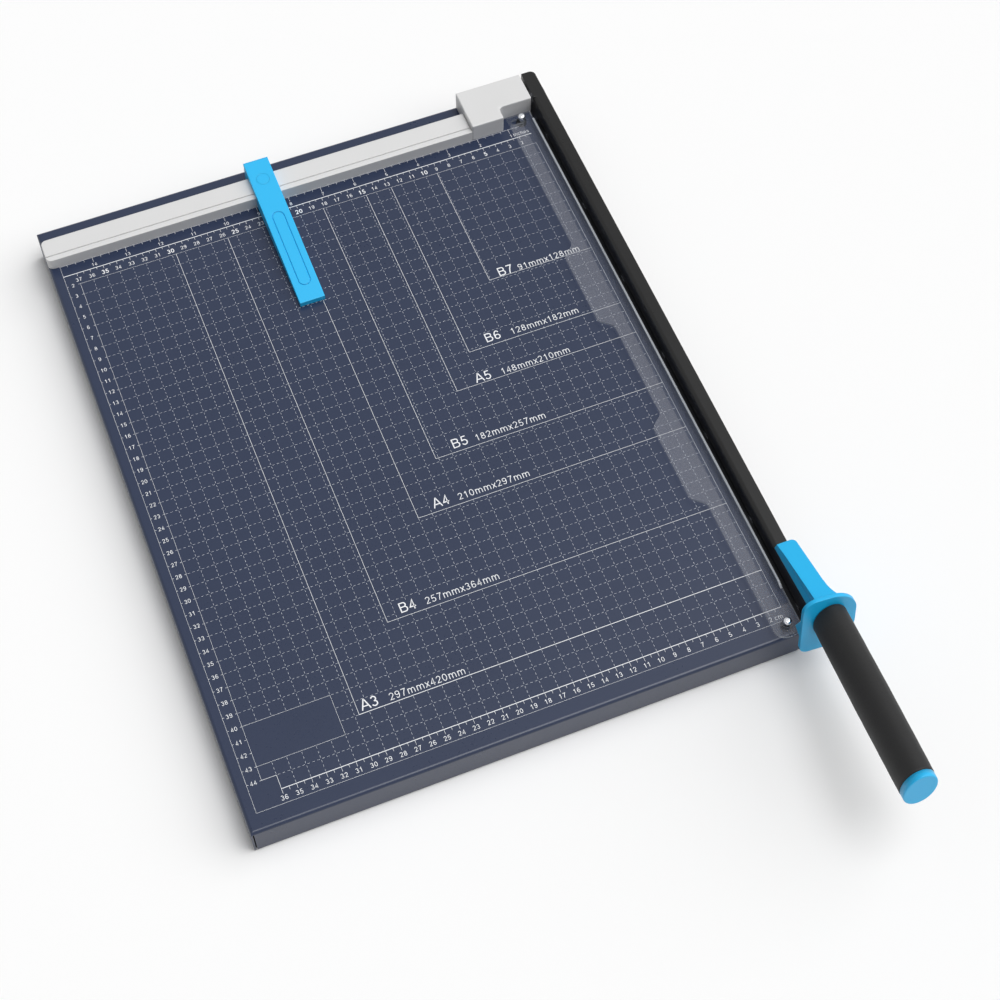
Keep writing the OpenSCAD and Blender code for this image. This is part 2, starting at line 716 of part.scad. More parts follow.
// What the collar's left side leaves open: an upright face above, and a skirt that leans out to the arm
module skirt_cut() intersection() {
    translate([arm_x0, collar_y0, arm_top]) rotate([-neck_rise, 0, 0]) rotate([0, skirt_lean, 0])
        box([-2 * flange_w, 0], [-2 * collar_l, collar_l], [-flange_w, 2 * flange_w]);
    box([arm_x0 - through, collar_x0], [handle_pos[1] - flange_down, collar_y0 + through], [0, 3 * flange_w]);
}

module flange_plan() round_rect([-flange_w / 2, flange_w / 2], [-flange_down, flange_up], flange_r);

module hand_guard() place() color([0.2, 0.7, 0.95]) difference() {
    union() {
        difference() {
            collar_block(arm_x0, collar_x1);
            skirt_cut();
            linear_extrude(2 * flange_w) corner_cut([collar_x1, collar_y0], [-1, -1], collar_end_r);
        }
        intersection() {
            collar_block(arm_x1, arm_mid + flange_w / 2);
            on_handle() translate([0, flange_up, 0]) rotate([90, 0, 0]) linear_extrude(flange_up + flange_down)
                polygon(concat([[0, -flange_t], [0, -flange_t - flare_l]],
                    [for (i = [0 : flare_n]) let (t = i / flare_n)
                        [flare_x + (flange_w / 2 - flare_edge - flare_x) * t * t, (t - 1) * flare_l - flange_t]]));
            on_handle() translate([0, 0, -2 * flare_l]) linear_extrude(2 * flare_l) flange_plan();
        }
        on_handle() translate([0, 0, -flange_t]) {
            linear_extrude(flange_t) flange_plan();
            translate([-flange_w / 2 + 1, 0, 0]) rotate([90, 0, 90]) linear_extrude(gusset_w) polygon(gusset);
        }
    }
    arm_block();
    tang_bar();
    guard_screw_places() guard_screw();
}

module hand_guard_screws() place() color("silver") guard_screw_places() difference() {
    guard_screw();
    side_recess();
}

// Handle

// The grip's oval outline, set in by m
module oval_plan(m) rotate(-grip_roll) {
    tangent = oval_end_at * (oval_side_r - m) / (oval_side_r - oval_end_r);
    for (s = [-1, 1]) translate([0, s * oval_end_at]) circle(oval_end_r - m);
    intersection() {
        translate([-oval_side_at, 0]) circle(oval_side_r - m);
        translate([oval_side_at, 0]) circle(oval_side_r - m);
        translate([-oval_a, -tangent]) square([grip_w, 2 * tangent]);
    }
}

module handle_core() place() color([0.25, 0.25, 0.27]) difference() {
    on_handle() difference() {
        linear_extrude(grip_l) oval_plan(grip_wall);
        translate([0, 0, grip_l - plug_l]) cylinder(d = plug_d, h = plug_l + through);
    }
    tang_bar();
}

module grip() place() color([0.12, 0.12, 0.12]) on_handle() linear_extrude(grip_l) difference() {
    oval_plan(0);
    oval_plan(grip_wall);
}

module end_cap() place() color([0.25, 0.68, 0.92]) on_handle() translate([0, 0, grip_l]) {
    linear_extrude(cap_l - cap_step) oval_plan(cap_inset);
    linear_extrude(cap_l) oval_plan(cap_inset + cap_step);
    translate([0, 0, -plug_l]) cylinder(d = plug_d, h = plug_l);
}

// Hold-down strip

module strip_plan() polygon(concat(
    [[strip_x1, strip_back], [strip_x0, strip_back]],
    lobe_edge(-lobe_at),
    lobe_edge(-lobe_at - lobe_pitch),
    arc([strip_x0 + strip_end_r, strip_front + strip_end_r], strip_end_r, 180, 270),
    arc([strip_x1 - strip_end_r, strip_front + strip_end_r], strip_end_r, 270, 360)));

module hold_down_strip() place() color([0.8, 0.85, 0.9, 0.5]) difference() {
    union() {
        translate([0, 0, strip_z0]) linear_extrude(strip_t) strip_plan();
        along_x(strip_x1 - rib_w, strip_x1) polygon([[rib_back, strip_z0], [rib_back, strip_z1 + rib_h],
            [rib_front, strip_z1 + rib_h], [rib_front - rib_slope, strip_z1], [rib_front - rib_slope, strip_z0]]);
    }
    translate([post_x, post_ys[1], 0]) cylinder(d = post_d + 2 * slack, h = post_head_z);
    translate([0, post_ys[0], 0]) {
        translate([post_x, 0, 0]) cylinder(d = post_d + 2 * slack, h = post_head_z);
        translate([post_x - post_slot, 0, 0]) cylinder(d = post_d + 2 * slack, h = post_head_z);
        box([post_x - post_slot, post_x], [-post_d / 2 - slack, post_d / 2 + slack], [0, post_head_z]);
    }
}

module guard_posts() place() color("silver") for (y = post_ys) translate([post_x, y, 0]) rotate_extrude() {
    translate([0, -sheet_t]) square([post_d / 2, sheet_t + post_head_z]);
    square([post_shoulder_d / 2, paper_gap]);
    translate([0, -sheet_t - post_rivet_h]) square([post_shoulder_d / 2, post_rivet_h]);
    translate([0, post_head_z])
        round_rect([0, post_head_d / 2], [0, post_head_h], [post_head_h * 0.75, 0, 0, 0]);
}

// Paper stop

module track_plan(m) {
    for (s = [-1, 1]) translate([0, s * (track_l - track_w) / 2]) circle(d = track_w - 2 * m);
    translate([-track_w / 2 + m, -(track_l - track_w) / 2]) square([track_w - 2 * m, track_l - track_w]);
}

module stop_screw_solid() on_stop(stop_cap_y) translate([0, 0, -stop_cap_h - stop_screw_head_h]) {
    cylinder(d = stop_screw_head_d, h = stop_screw_head_h);
    translate([0, 0, -stop_screw_d]) cylinder(d = stop_screw_d, h = stop_screw_d);
}

module shoe_solid() box([-stop_at - shoe_w / 2, -stop_at + shoe_w / 2],
    [stop_cap_y - shoe_l / 2, stop_cap_y + shoe_l / 2], [fence_h + slack, fence_h + slack + shoe_h]);

module paper_stop() place() color([0.2, 0.7, 0.95]) difference() {
    along_x(stop_x0, stop_x1) polygon([[stop_y0, stop_z0], [stop_y0, stop_low], [stop_y1, stop_high],
        [stop_y1, stop_z0], [fence_d + slack, stop_z0], [fence_d + slack, fence_h + slack],
        [-slack, fence_h + slack], [-slack, stop_z0]]);
    along_x(stop_x0 + stop_wall, stop_x1 - stop_wall) polygon([
        [stop_y0 + stop_wall, -through], [stop_y0 + stop_wall, stop_top(stop_y0 + stop_wall) - stop_wall],
        [-slack - stop_wall, stop_top(-slack - stop_wall) - stop_wall], [-slack - stop_wall, -through]]);
    on_stop(track_y) translate([0, 0, -track_groove]) linear_extrude(track_groove + through) difference() {
        track_plan(0);
        track_plan(track_groove);
    }
    on_stop(stop_cap_y) translate([0, 0, -stop_cap_h]) cylinder(d = stop_cap_d + 2 * running, h = stop_cap_h + through);
    stop_screw_solid();
    shoe_solid();
}

module stop_cap() place() color([0.22, 0.72, 0.96]) on_stop(stop_cap_y)
    translate([0, 0, -stop_cap_h]) cylinder(d = stop_cap_d, h = stop_cap_h);

module stop_screw() place() color("silver") stop_screw_solid();

module brake_shoe() place() color([0.9, 0.9, 0.88]) difference() {
    shoe_solid();
    stop_screw_solid();
}

base_board();
stiffener_channels();
rubber_feet();
rear_fence();
fence_screws();
pivot_housing();
housing_screws();
pivot_bracket();
bracket_bolts();
bracket_nuts();
pivot_bolt();
thrust_washer();
spring_washer();
pivot_nut();
lower_blade();
lower_blade_screws();
guard_posts();
blade_arm();
pivot_bush();
upper_blade();
blade_screws();
hand_guard();
hand_guard_screws();
handle_tang();
handle_core();
grip();
end_cap();
hold_down_strip();
paper_stop();
stop_cap();
stop_screw();
brake_shoe();
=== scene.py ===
"""Dresses a packed guillotine paper cutter: finishes, printed scales, grip, floor, light and camera."""

import logging
import math
from dataclasses import dataclass
from enum import Enum
from typing import Any, Callable, Mapping, Optional, Sequence, Union

import bpy
import numpy as np
from mathutils import Matrix, Vector


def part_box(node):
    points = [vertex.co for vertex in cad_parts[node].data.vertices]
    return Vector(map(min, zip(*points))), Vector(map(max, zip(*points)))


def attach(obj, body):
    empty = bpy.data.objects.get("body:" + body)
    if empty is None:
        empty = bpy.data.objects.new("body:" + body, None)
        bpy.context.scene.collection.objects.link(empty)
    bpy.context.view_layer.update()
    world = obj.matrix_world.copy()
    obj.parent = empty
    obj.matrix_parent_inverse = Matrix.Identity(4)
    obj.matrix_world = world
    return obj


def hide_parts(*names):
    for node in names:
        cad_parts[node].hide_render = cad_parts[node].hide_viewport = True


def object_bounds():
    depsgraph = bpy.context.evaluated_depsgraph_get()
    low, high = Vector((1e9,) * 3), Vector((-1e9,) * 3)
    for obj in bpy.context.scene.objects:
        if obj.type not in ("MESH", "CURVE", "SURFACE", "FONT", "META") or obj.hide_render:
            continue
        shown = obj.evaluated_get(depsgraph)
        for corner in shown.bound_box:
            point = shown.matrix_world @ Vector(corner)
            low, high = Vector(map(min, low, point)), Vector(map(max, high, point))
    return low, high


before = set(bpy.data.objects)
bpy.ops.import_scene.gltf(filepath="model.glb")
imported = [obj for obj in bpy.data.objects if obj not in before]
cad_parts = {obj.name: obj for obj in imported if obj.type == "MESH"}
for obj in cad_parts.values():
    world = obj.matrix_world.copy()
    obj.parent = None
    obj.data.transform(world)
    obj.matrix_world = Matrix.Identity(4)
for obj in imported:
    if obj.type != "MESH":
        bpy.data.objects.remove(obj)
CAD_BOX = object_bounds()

log = logging.getLogger("paper_cutter")

MM = 0.001
WHITE = (1.0, 1.0, 1.0, 1.0)

Triple = tuple[float, float, float]
Colour = Triple
Span = tuple[float, float]
Point = tuple[float, float]
Line = tuple[Point, ...]
Keeper = Callable[[Point], bool]


def screen(red: int, green: int, blue: int) -> Colour:
    """Turns an 8-bit screen colour into the linear colour that the shaders take.

    Args:
        red: Red from 0 to 255.
        green: Green from 0 to 255.
        blue: Blue from 0 to 255.

    Returns:
        The linear red, green and blue.
    """

    def lift(part: int) -> float:
        """Undoes the screen curve for one part."""
        share = part / 255
        return share / 12.92 if share <= 0.04045 else ((share + 0.055) / 1.055) ** 2.4

    return lift(red), lift(green), lift(blue)


def scaled(colour: Colour, share: float) -> Colour:
    """Darkens or lightens a linear colour by one share, to at most 1 in each part."""
    return tuple(min(1.0, part * share) for part in colour)


class Wire:
    """A node's output socket, with arithmetic that adds Math nodes."""

    def __init__(self, graph: "Graph", socket: bpy.types.NodeSocket) -> None:
        """Keeps the socket and the graph that it belongs to."""
        self.graph = graph
        self.socket = socket

    def _math(self, operation: str, first: "Value", second: "Value" = 0.0) -> "Wire":
        """Adds one Math node and gives its result."""
        return self.graph.wire("ShaderNodeMath", {"operation": operation}, {0: first, 1: second})

    def __add__(self, other: "Value") -> "Wire":
        """Adds a number or a socket."""
        return self._math("ADD", self, other)

    def __radd__(self, other: "Value") -> "Wire":
        """Adds this socket to a number."""
        return self._math("ADD", other, self)

    def __sub__(self, other: "Value") -> "Wire":
        """Takes a number or a socket away."""
        return self._math("SUBTRACT", self, other)

    def __rsub__(self, other: "Value") -> "Wire":
        """Takes this socket away from a number."""
        return self._math("SUBTRACT", other, self)

    def __mul__(self, other: "Value") -> "Wire":
        """Multiplies by a number or a socket."""
        return self._math("MULTIPLY", self, other)

    def __rmul__(self, other: "Value") -> "Wire":
        """Multiplies a number by this socket."""
        return self._math("MULTIPLY", other, self)

    def __gt__(self, other: "Value") -> "Wire":
        """Gives 1 where this socket is above the other."""
        return self._math("GREATER_THAN", self, other)

    def __lt__(self, other: "Value") -> "Wire":
        """Gives 1 where this socket is below the other."""
        return self._math("LESS_THAN", self, other)

    def __abs__(self) -> "Wire":
        """Drops the sign."""
        return self._math("ABSOLUTE", self)

    def or_(self, other: "Value") -> "Wire":
        """Takes the larger of two masks."""
        return self._math("MAXIMUM", self, other)

    def between(self, low: float, high: float) -> "Wire":
        """Rises smoothly from 0 at one value to 1 at another.

        Args:
            low: Where the result is 0.
            high: Where the result is 1.

        Returns:
            The smooth step.
        """
        return self.graph.wire(
            "ShaderNodeMapRange",
            {"interpolation_type": "SMOOTHSTEP", "clamp": True},
            {"Value": self, "From Min": low, "From Max": high},
        )


Value = Union[Wire, float, Sequence[float]]


class Graph:
    """A node tree under construction."""

    def __init__(self, tree: bpy.types.NodeTree) -> None:
        """Empties the tree and keeps it."""
        self.tree = tree
        self.tree.nodes.clear()

    def node(
        self,
        kind: str,
        settings: Optional[Mapping[str, Any]] = None,
        inputs: Optional[Mapping[Union[str, int], Value]] = None,
    ) -> bpy.types.Node:
        """Adds any node.

        Args:
            kind: The node's type.
            settings: Its own settings, set first.
            inputs: Values or wires by socket name or number.

        Returns:
            The new node.
        """
        made = self.tree.nodes.new(kind)
        for key, value in (settings or {}).items():
            setattr(made, key, value)
        for key, value in (inputs or {}).items():
            if isinstance(value, Wire):
                self.tree.links.new(value.socket, made.inputs[key])
            else:
                made.inputs[key].default_value = value
        return made

    def wire(
        self,
        kind: str,
        settings: Optional[Mapping[str, Any]] = None,
        inputs: Optional[Mapping[Union[str, int], Value]] = None,
        output: Union[str, int] = 0,
    ) -> Wire:
        """Adds any node and gives one of its outputs, by name or number."""
        return Wire(self, self.node(kind, settings, inputs).outputs[output])


# What a noise gives at its middle
NOISE_MIDDLE = 0.5
# How many rays soften an edge
EDGE_SAMPLES = 6
# The colour sockets of a Mix node, by number because others share their names
MIX_FIRST = 6
MIX_SECOND = 7
MIX_RESULT = 2


class FinishGraph(Graph):
    """The node tree of one finish, with the moves that finishes share."""

    def __init__(self, name: str) -> None:
        """Makes the material and starts its tree.

        Args:
            name: The material's name.
        """
        self.made = bpy.data.materials.new(name)
        self.made.use_nodes = True
        super().__init__(self.made.node_tree)

    def place(self) -> Wire:
        """Gives the point on the piece, in metres in the shared frame."""
        return self.wire("ShaderNodeTexCoord", output="Object")

    def stretched(self, place: Wire, shares: Sequence[float]) -> Wire:
        """Scales a point along X, Y and Z."""
        return self.wire("ShaderNodeVectorMath", {"operation": "MULTIPLY"}, {0: place, 1: shares})

    def facing(self) -> Wire:
        """Gives the way that the surface itself faces."""
        return self.wire("ShaderNodeNewGeometry", output="Normal")

    def parts(self, place: Wire) -> tuple[Wire, Wire, Wire]:
        """Splits a vector into its X, Y and Z."""
        split = self.node("ShaderNodeSeparateXYZ", inputs={0: place})
        return tuple(Wire(self, socket) for socket in split.outputs)

    def noise(self, place: Wire, scale: float, detail: float = 2.0, rough: float = 0.5) -> Wire:
        """Adds cloud noise from 0 to 1, by its waves to the metre, its finer layers and their strength."""
        inputs = {"Vector": place, "Scale": scale, "Detail": detail, "Roughness": rough}
        return self.wire("ShaderNodeTexNoise", inputs=inputs)

    def cells(self, place: Wire, scale: float) -> Wire:
        """Adds cell noise, which gives the distance inside each cell."""
        return self.wire("ShaderNodeTexVoronoi", inputs={"Vector": place, "Scale": scale})

    def mix(self, share: Value, first: Union[Wire, Colour], second: Union[Wire, Colour]) -> Wire:
        """Blends two colours.

        Args:
            share: 0 for the first and 1 for the second.
            first: A colour or its wire.
            second: A colour or its wire.

        Returns:
            The blended colour.
        """

        def full(colour: Union[Wire, Colour]) -> Union[Wire, Sequence[float]]:
            """Adds the fourth part that a colour socket takes."""
            return colour if isinstance(colour, Wire) else (*colour, 1.0)

        inputs = {0: share, MIX_FIRST: full(first), MIX_SECOND: full(second)}
        return self.wire("ShaderNodeMix", {"data_type": "RGBA"}, inputs, output=MIX_RESULT)

    def shaded(self, share: Wire, colour: Colour, shades: Span) -> Wire:
        """Blends two shades of a colour, which are given as shares of it."""
        first, second = (scaled(colour, shade) for shade in shades)
        return self.mix(share, first, second)

    @staticmethod
    def ranging(share: Wire, span: Span) -> Wire:
        """Spreads a value from 0 to 1 over a span."""
        return span[0] + (span[1] - span[0]) * share

    @staticmethod
    def uneven(base: Value, *layers: tuple[Wire, float]) -> Value:
        """Varies a number by noise.

        Args:
            base: The number where each noise is at its middle.
            layers: Each noise, and how far it moves the number in all.

        Returns:
            The varied number.
        """
        varied = base
        for noise, reach in layers:
            varied = varied + reach * (noise - NOISE_MIDDLE)
        return varied

    def soft_edges(self, radius: float) -> Wire:
        """Gives normals that turn smoothly over sharp edges, by a radius in metres."""
        return self.wire("ShaderNodeBevel", {"samples": EDGE_SAMPLES}, {"Radius": radius})

    def edge_mask(self, soft: Wire, gain: float = 6.0) -> Wire:
        """Finds the edges, where the softened normal leaves the surface's own.

        Args:
            soft: The softened normal.
            gain: How quickly the mask fills.

        Returns:
            0 on flat places and up to 1 on edges.
        """
        pair = {0: soft, 1: self.facing()}
        turn = self.wire("ShaderNodeVectorMath", {"operation": "DOT_PRODUCT"}, pair, output="Value")
        return ((1.0 - turn) * gain).between(0.0, 1.0)

    def bump(self, height: Wire, depth: float, strength: float, normal: Optional[Wire] = None) -> Wire:
        """Turns a height into a normal.

        Args:
            height: The height from 0 to 1.
            depth: What a height of 1 is, in metres.
            strength: How much of it shows.
            normal: The normal that it starts from.

        Returns:
            The bumped normal.
        """
        inputs: dict[Union[str, int], Value] = {"Height": height, "Distance": depth, "Strength": strength}
        if normal is not None:
            inputs["Normal"] = normal
        return self.wire("ShaderNodeBump", inputs=inputs)

    def paint(self, **sockets: Value) -> bpy.types.Material:
        """Ends the tree in one main shader.

        Args:
            sockets: The shader's sockets by name, with underscores for spaces.

        Returns:
            The finished material.
        """
        inputs = {key.replace("_", " "): value for key, value in sockets.items()}
        shader = self.wire("ShaderNodeBsdfPrincipled", inputs=inputs)
        self.node("ShaderNodeOutputMaterial", inputs={"Surface": shader})
        return self.made


@dataclass(frozen=True)
class PowderCoat:
    """Baked powder paint with a fine orange peel, light flecks and a painted highlight in a lighter colour
    along the edges.
    """

    name: str
    colour: Colour
    # The lighter colour of the flecks and of the painted edge highlight
    thin: Colour
    roughness: float = 0.34
    edge: float = 0.0007
    ior: float = 1.5
    cloud: float = 9.0
    shades: Span = (0.93, 1.07)
    peel: float = 620.0
    depth: float = 0.00003
    fleck: float = 2790.0
    fleck_above: float = 0.68
    fleck_cover: float = 0.35
    # How strong the painted edge highlight is, spread over the cloud noise
    wear: Span = (0.25, 0.6)

    def material(self) -> bpy.types.Material:
        """Builds the paint.

        Returns:
            The material.
        """
        graph = FinishGraph(self.name)
        place = graph.place()
        soft = graph.soft_edges(self.edge)
        cloud = graph.noise(place, self.cloud, detail=4.0, rough=0.6)
        peel = graph.noise(place, self.peel)
        fleck = graph.noise(place, self.fleck, detail=1.0)
        tone = graph.shaded(cloud, self.colour, self.shades)
        flecked = graph.mix((fleck > self.fleck_above) * self.fleck_cover, tone, self.thin)
        # Painted highlight: the colour turns lighter along the edges, by a cloudy amount
        edge_highlight = graph.edge_mask(soft) * graph.ranging(cloud, self.wear)
        return graph.paint(
            Base_Color=graph.mix(edge_highlight, flecked, self.thin),
            Roughness=graph.uneven(self.roughness, (cloud, 0.08), (peel, 0.1)),
            Normal=graph.bump(peel, self.depth, strength=0.35, normal=soft),
            IOR=self.ior,
        )


@dataclass(frozen=True)
class MouldedPlastic:
    """Injection-moulded plastic with spark-eroded grain, a little lighter in colour along its edges."""

    name: str
    colour: Colour
    roughness: float = 0.42
    flow: float = 0.04
    ior: float = 1.49
    flow_scale: float = 16.0
    flow_lay: Triple = (1.0, 1.0, 3.0)
    grain: float = 1500.0
    depth: float = 0.00002
    edge: float = 0.0008
    scuff: float = 0.25
    scuff_shade: float = 1.35

    def material(self) -> bpy.types.Material:
        """Builds the plastic.

        Returns:
            The material.
        """
        graph = FinishGraph(self.name)
        place = graph.place()
        soft = graph.soft_edges(self.edge)
        flow = graph.noise(graph.stretched(place, self.flow_lay), self.flow_scale, detail=3.0, rough=0.55)
        grain = graph.noise(place, self.grain, rough=0.6)
        tone = graph.shaded(flow, self.colour, (1.0 - self.flow, 1.0 + self.flow))
        # The colour turns lighter along the edges, by a cloudy amount
        lighter_edges = graph.edge_mask(soft, gain=4.0) * self.scuff * flow
        return graph.paint(
            Base_Color=graph.mix(lighter_edges, tone, scaled(self.colour, self.scuff_shade)),
            Roughness=graph.uneven(self.roughness, (flow, 0.1), (grain, 0.14)),
            Normal=graph.bump(grain, self.depth, strength=0.3, normal=soft),
            IOR=self.ior,
        )


@dataclass(frozen=True)
class BlackedSteel:
    """Blade steel with a black finish that also stands in for painted shade between the strip and the arm,
    ground bright along its edges, with a thin film of oil.
    """

    name: str
    black: Colour
    bright: Colour
    roughness: float = 0.34
    lay: Triple = (2600.0, 22.0, 2600.0)
    bright_shades: Span = (0.82, 1.0)
    film: float = 30.0
    black_shades: Span = (0.8, 1.25)
    bared: Span = (0.5, 0.9)
    depth: float = 0.00001
    edge: float = 0.0003

    def material(self) -> bpy.types.Material:
        """Builds the steel.

        Returns:
            The material.
        """
        graph = FinishGraph(self.name)
        place = graph.place()
        soft = graph.soft_edges(self.edge)
        lines = graph.noise(graph.stretched(place, self.lay), 1.0, detail=3.0, rough=0.65)
        film = graph.noise(place, self.film, detail=3.0, rough=0.6)
        ground = graph.shaded(lines, self.bright, self.bright_shades)
        # Near-black colour: partly the blades' black finish, partly painted shade where the strip meets the
        # arm
        black_and_shade = graph.shaded(film, self.black, self.black_shades)
        bared = graph.edge_mask(soft, gain=5.0) * graph.ranging(film, self.bared)
        return graph.paint(
            Base_Color=graph.mix(bared, black_and_shade, ground),
            Metallic=1.0,
            Roughness=graph.uneven(self.roughness, (lines, 0.16), (film, 0.08)),
            Normal=graph.bump(lines, self.depth, strength=0.35, normal=soft),
        )


@dataclass(frozen=True)
class PlatedMetal:
    """Plated or turned small hardware, a little clouded, with fine turning marks."""

    name: str
    colour: Colour
    dull: Colour
    roughness: float = 0.26
    bare_below: float = -1.0
    # The dark colour painted below that height as shade
    bare: Colour = screen(70, 72, 76)
    cloud: float = 260.0
    clouded: Span = (0.35, 0.75)
    mark: float = 2400.0
    depth: float = 0.00001
    edge: float = 0.0003

    def material(self) -> bpy.types.Material:
        """Builds the plating, with a painted shade: the metal is coloured dark below a height.

        Returns:
            The material.
        """
        graph = FinishGraph(self.name)
        place = graph.place()
        soft = graph.soft_edges(self.edge)
        cloud = graph.noise(place, self.cloud, detail=3.0, rough=0.6)
        mark = graph.noise(place, self.mark, rough=0.6)
        plated = graph.mix(cloud.between(*self.clouded), self.colour, self.dull)
        _, _, up = graph.parts(place)
        return graph.paint(
            # Painted shade: dark below the given height
            Base_Color=graph.mix(up < self.bare_below, plated, self.bare),
            Metallic=1.0,
            Roughness=graph.uneven(self.roughness, (cloud, 0.2), (mark, 0.1)),
            Normal=graph.bump(mark, self.depth, strength=0.25, normal=soft),
        )


@dataclass(frozen=True)
class FoamRubber:
    """Closed-cell foam with a fine open skin."""

    name: str
    colour: Colour
    roughness: float = 0.62
    cell: float = 1500.0
    cell_rise: float = 0.6
    pore: float = 700.0
    pore_rise: float = 0.8
    depth: float = 0.00009
    cloud: float = 22.0
    shades: Span = (0.85, 1.15)
    pitted: Span = (0.55, 0.75)
    pit_cover: float = 0.5
    pit_shade: float = 0.5
    gloss: float = 0.4
    sheen: float = 0.05
    sheen_roughness: float = 0.5

    def material(self) -> bpy.types.Material:
        """Builds the foam.

        Returns:
            The material.
        """
        graph = FinishGraph(self.name)
        place = graph.place()
        cell = graph.cells(place, self.cell)
        pore = graph.noise(place, self.pore, detail=3.0, rough=0.65)
        cloud = graph.noise(place, self.cloud, detail=3.0, rough=0.6)
        tone = graph.shaded(cloud, self.colour, self.shades)
        pit = pore.between(*self.pitted) * self.pit_cover
        return graph.paint(
            Base_Color=graph.mix(pit, tone, scaled(self.colour, self.pit_shade)),
            Roughness=graph.uneven(self.roughness, (pore, 0.18), (cloud, 0.1)),
            Normal=graph.bump(cell * self.cell_rise + pore * self.pore_rise, self.depth, strength=0.4),
            Specular_IOR_Level=self.gloss,
            Sheen_Weight=self.sheen,
            Sheen_Roughness=self.sheen_roughness,
        )


@dataclass(frozen=True)
class CastRubber:
    """Dull cast rubber with dusty clouds."""

    name: str
    colour: Colour
    roughness: float = 0.78
    dust: float = 120.0
    dusted: Span = (0.45, 0.8)
    dust_cover: float = 0.6
    dust_shade: float = 2.2
    grain: float = 1900.0
    depth: float = 0.00004
    edge: float = 0.0006

    def material(self) -> bpy.types.Material:
        """Builds the rubber.

        Returns:
            The material.
        """
        graph = FinishGraph(self.name)
        place = graph.place()
        soft = graph.soft_edges(self.edge)
        dust = graph.noise(place, self.dust, detail=4.0, rough=0.65)
        grain = graph.noise(place, self.grain)
        dusty = dust.between(*self.dusted) * self.dust_cover
        return graph.paint(
            Base_Color=graph.mix(dusty, self.colour, scaled(self.colour, self.dust_shade)),
            Roughness=graph.uneven(self.roughness, (dust, 0.15)),
            Normal=graph.bump(grain, self.depth, strength=0.4, normal=soft),
        )


@dataclass(frozen=True)
class ClearSheet:
    """Clear sheet plastic with an etched band, and painted highlights on its edges and its rib."""

    name: str
    band_x: float
    band_y: Span
    edge_x: float
    rib_z: float
    clear: Colour = screen(150, 154, 164)
    band: Colour = screen(150, 152, 160)
    band_shades: Span = (0.86, 1.12)
    # The light colour of the painted highlights on the sides, the edge line and the rib
    rim: Colour = screen(205, 210, 216)
    rib_shade: float = 1.1
    clear_cover: float = 0.06
    band_cover: float = 0.18
    end_cover: float = 0.2
    rim_cover: float = 0.4
    border_cover: float = 0.34
    rib_cover: float = 0.58
    line: float = 0.00022
    upright: float = 0.6
    etch: float = 850.0
    etched: Span = (0.3, 0.7)
    depth: float = 0.00004
    streak_lay: Triple = (300.0, 18.0, 300.0)
    roughness: float = 0.12
    band_roughness: float = 0.3
    ior: float = 1.49

    def material(self) -> bpy.types.Material:
        """Builds the plastic.

        Returns:
            The material.
        """
        graph = FinishGraph(self.name)
        place = graph.place()
        across, along, up = graph.parts(place)
        _, _, facing = graph.parts(graph.facing())
        above = facing > 0.0
        front, back = self.band_y
        run = (along > front) * (along < back)
        etched = (across < self.band_x) * above * run
        smoked = (along < front) * above
        # Painted highlight: a thin light line along the right edge of the top
        edge_line_glint = (across > self.edge_x - self.line) * above
        # Painted highlight on the upright sides
        side = abs(facing) < self.upright
        rib = up > self.rib_z
        etch = graph.noise(place, self.etch, detail=3.0, rough=0.7)
        # Breaks up the painted highlight on the rib along its length
        rib_glint_streak = graph.noise(graph.stretched(place, self.streak_lay), 1.0)
        band = graph.shaded(etch.between(*self.etched), self.band, self.band_shades)
        sheet = graph.mix(etched.or_(smoked), self.clear, band)
        with_glints = graph.mix(side.or_(edge_line_glint), sheet, self.rim)
        extra = graph.uneven(self.band_cover - self.clear_cover, (etch, 0.07))
        cover = above * self.clear_cover + etched * extra
        # The painted highlights on the sides and the edge line are also more opaque
        for mask, share in ((smoked, self.end_cover), (side, self.rim_cover), (edge_line_glint, self.border_cover)):
            cover = cover.or_(mask * share)
        # The rib's top gets a painted highlight, lighter and more opaque
        return graph.paint(
            Base_Color=graph.mix(rib, with_glints, scaled(self.rim, self.rib_shade)),
            Alpha=cover.or_(rib * graph.uneven(self.rib_cover, (rib_glint_streak, 0.5))),
            Roughness=graph.uneven(self.roughness + etched * self.band_roughness, (etch, 0.1)),
            Normal=graph.bump(etch * etched, self.depth, strength=0.3),
            IOR=self.ior,
        )


@dataclass(frozen=True)
class PrintInk:
    """Screen-printed ink, a little uneven where the mesh left it thin."""

    name: str
    colour: Colour
    roughness: float = 0.55
    patch: float = 90.0
    shades: Span = (0.92, 1.0)
    mesh: float = 2600.0
    depth: float = 0.00001
    thin_above: float = 0.72
    thin_cover: float = 0.3
    thin_shade: float = 0.7

    def material(self) -> bpy.types.Material:
        """Builds the ink.

        Returns:
            The material.
        """
        graph = FinishGraph(self.name)
        place = graph.place()
        patch = graph.noise(place, self.patch, detail=3.0, rough=0.6)
        mesh = graph.noise(place, self.mesh, detail=1.0)
        tone = graph.shaded(patch, self.colour, self.shades)
        thin = (mesh > self.thin_above) * self.thin_cover
        return graph.paint(
            Base_Color=graph.mix(thin, tone, scaled(self.colour, self.thin_shade)),
            Roughness=graph.uneven(self.roughness, (patch, 0.15)),
            Normal=graph.bump(mesh, self.depth, strength=0.3),
        )


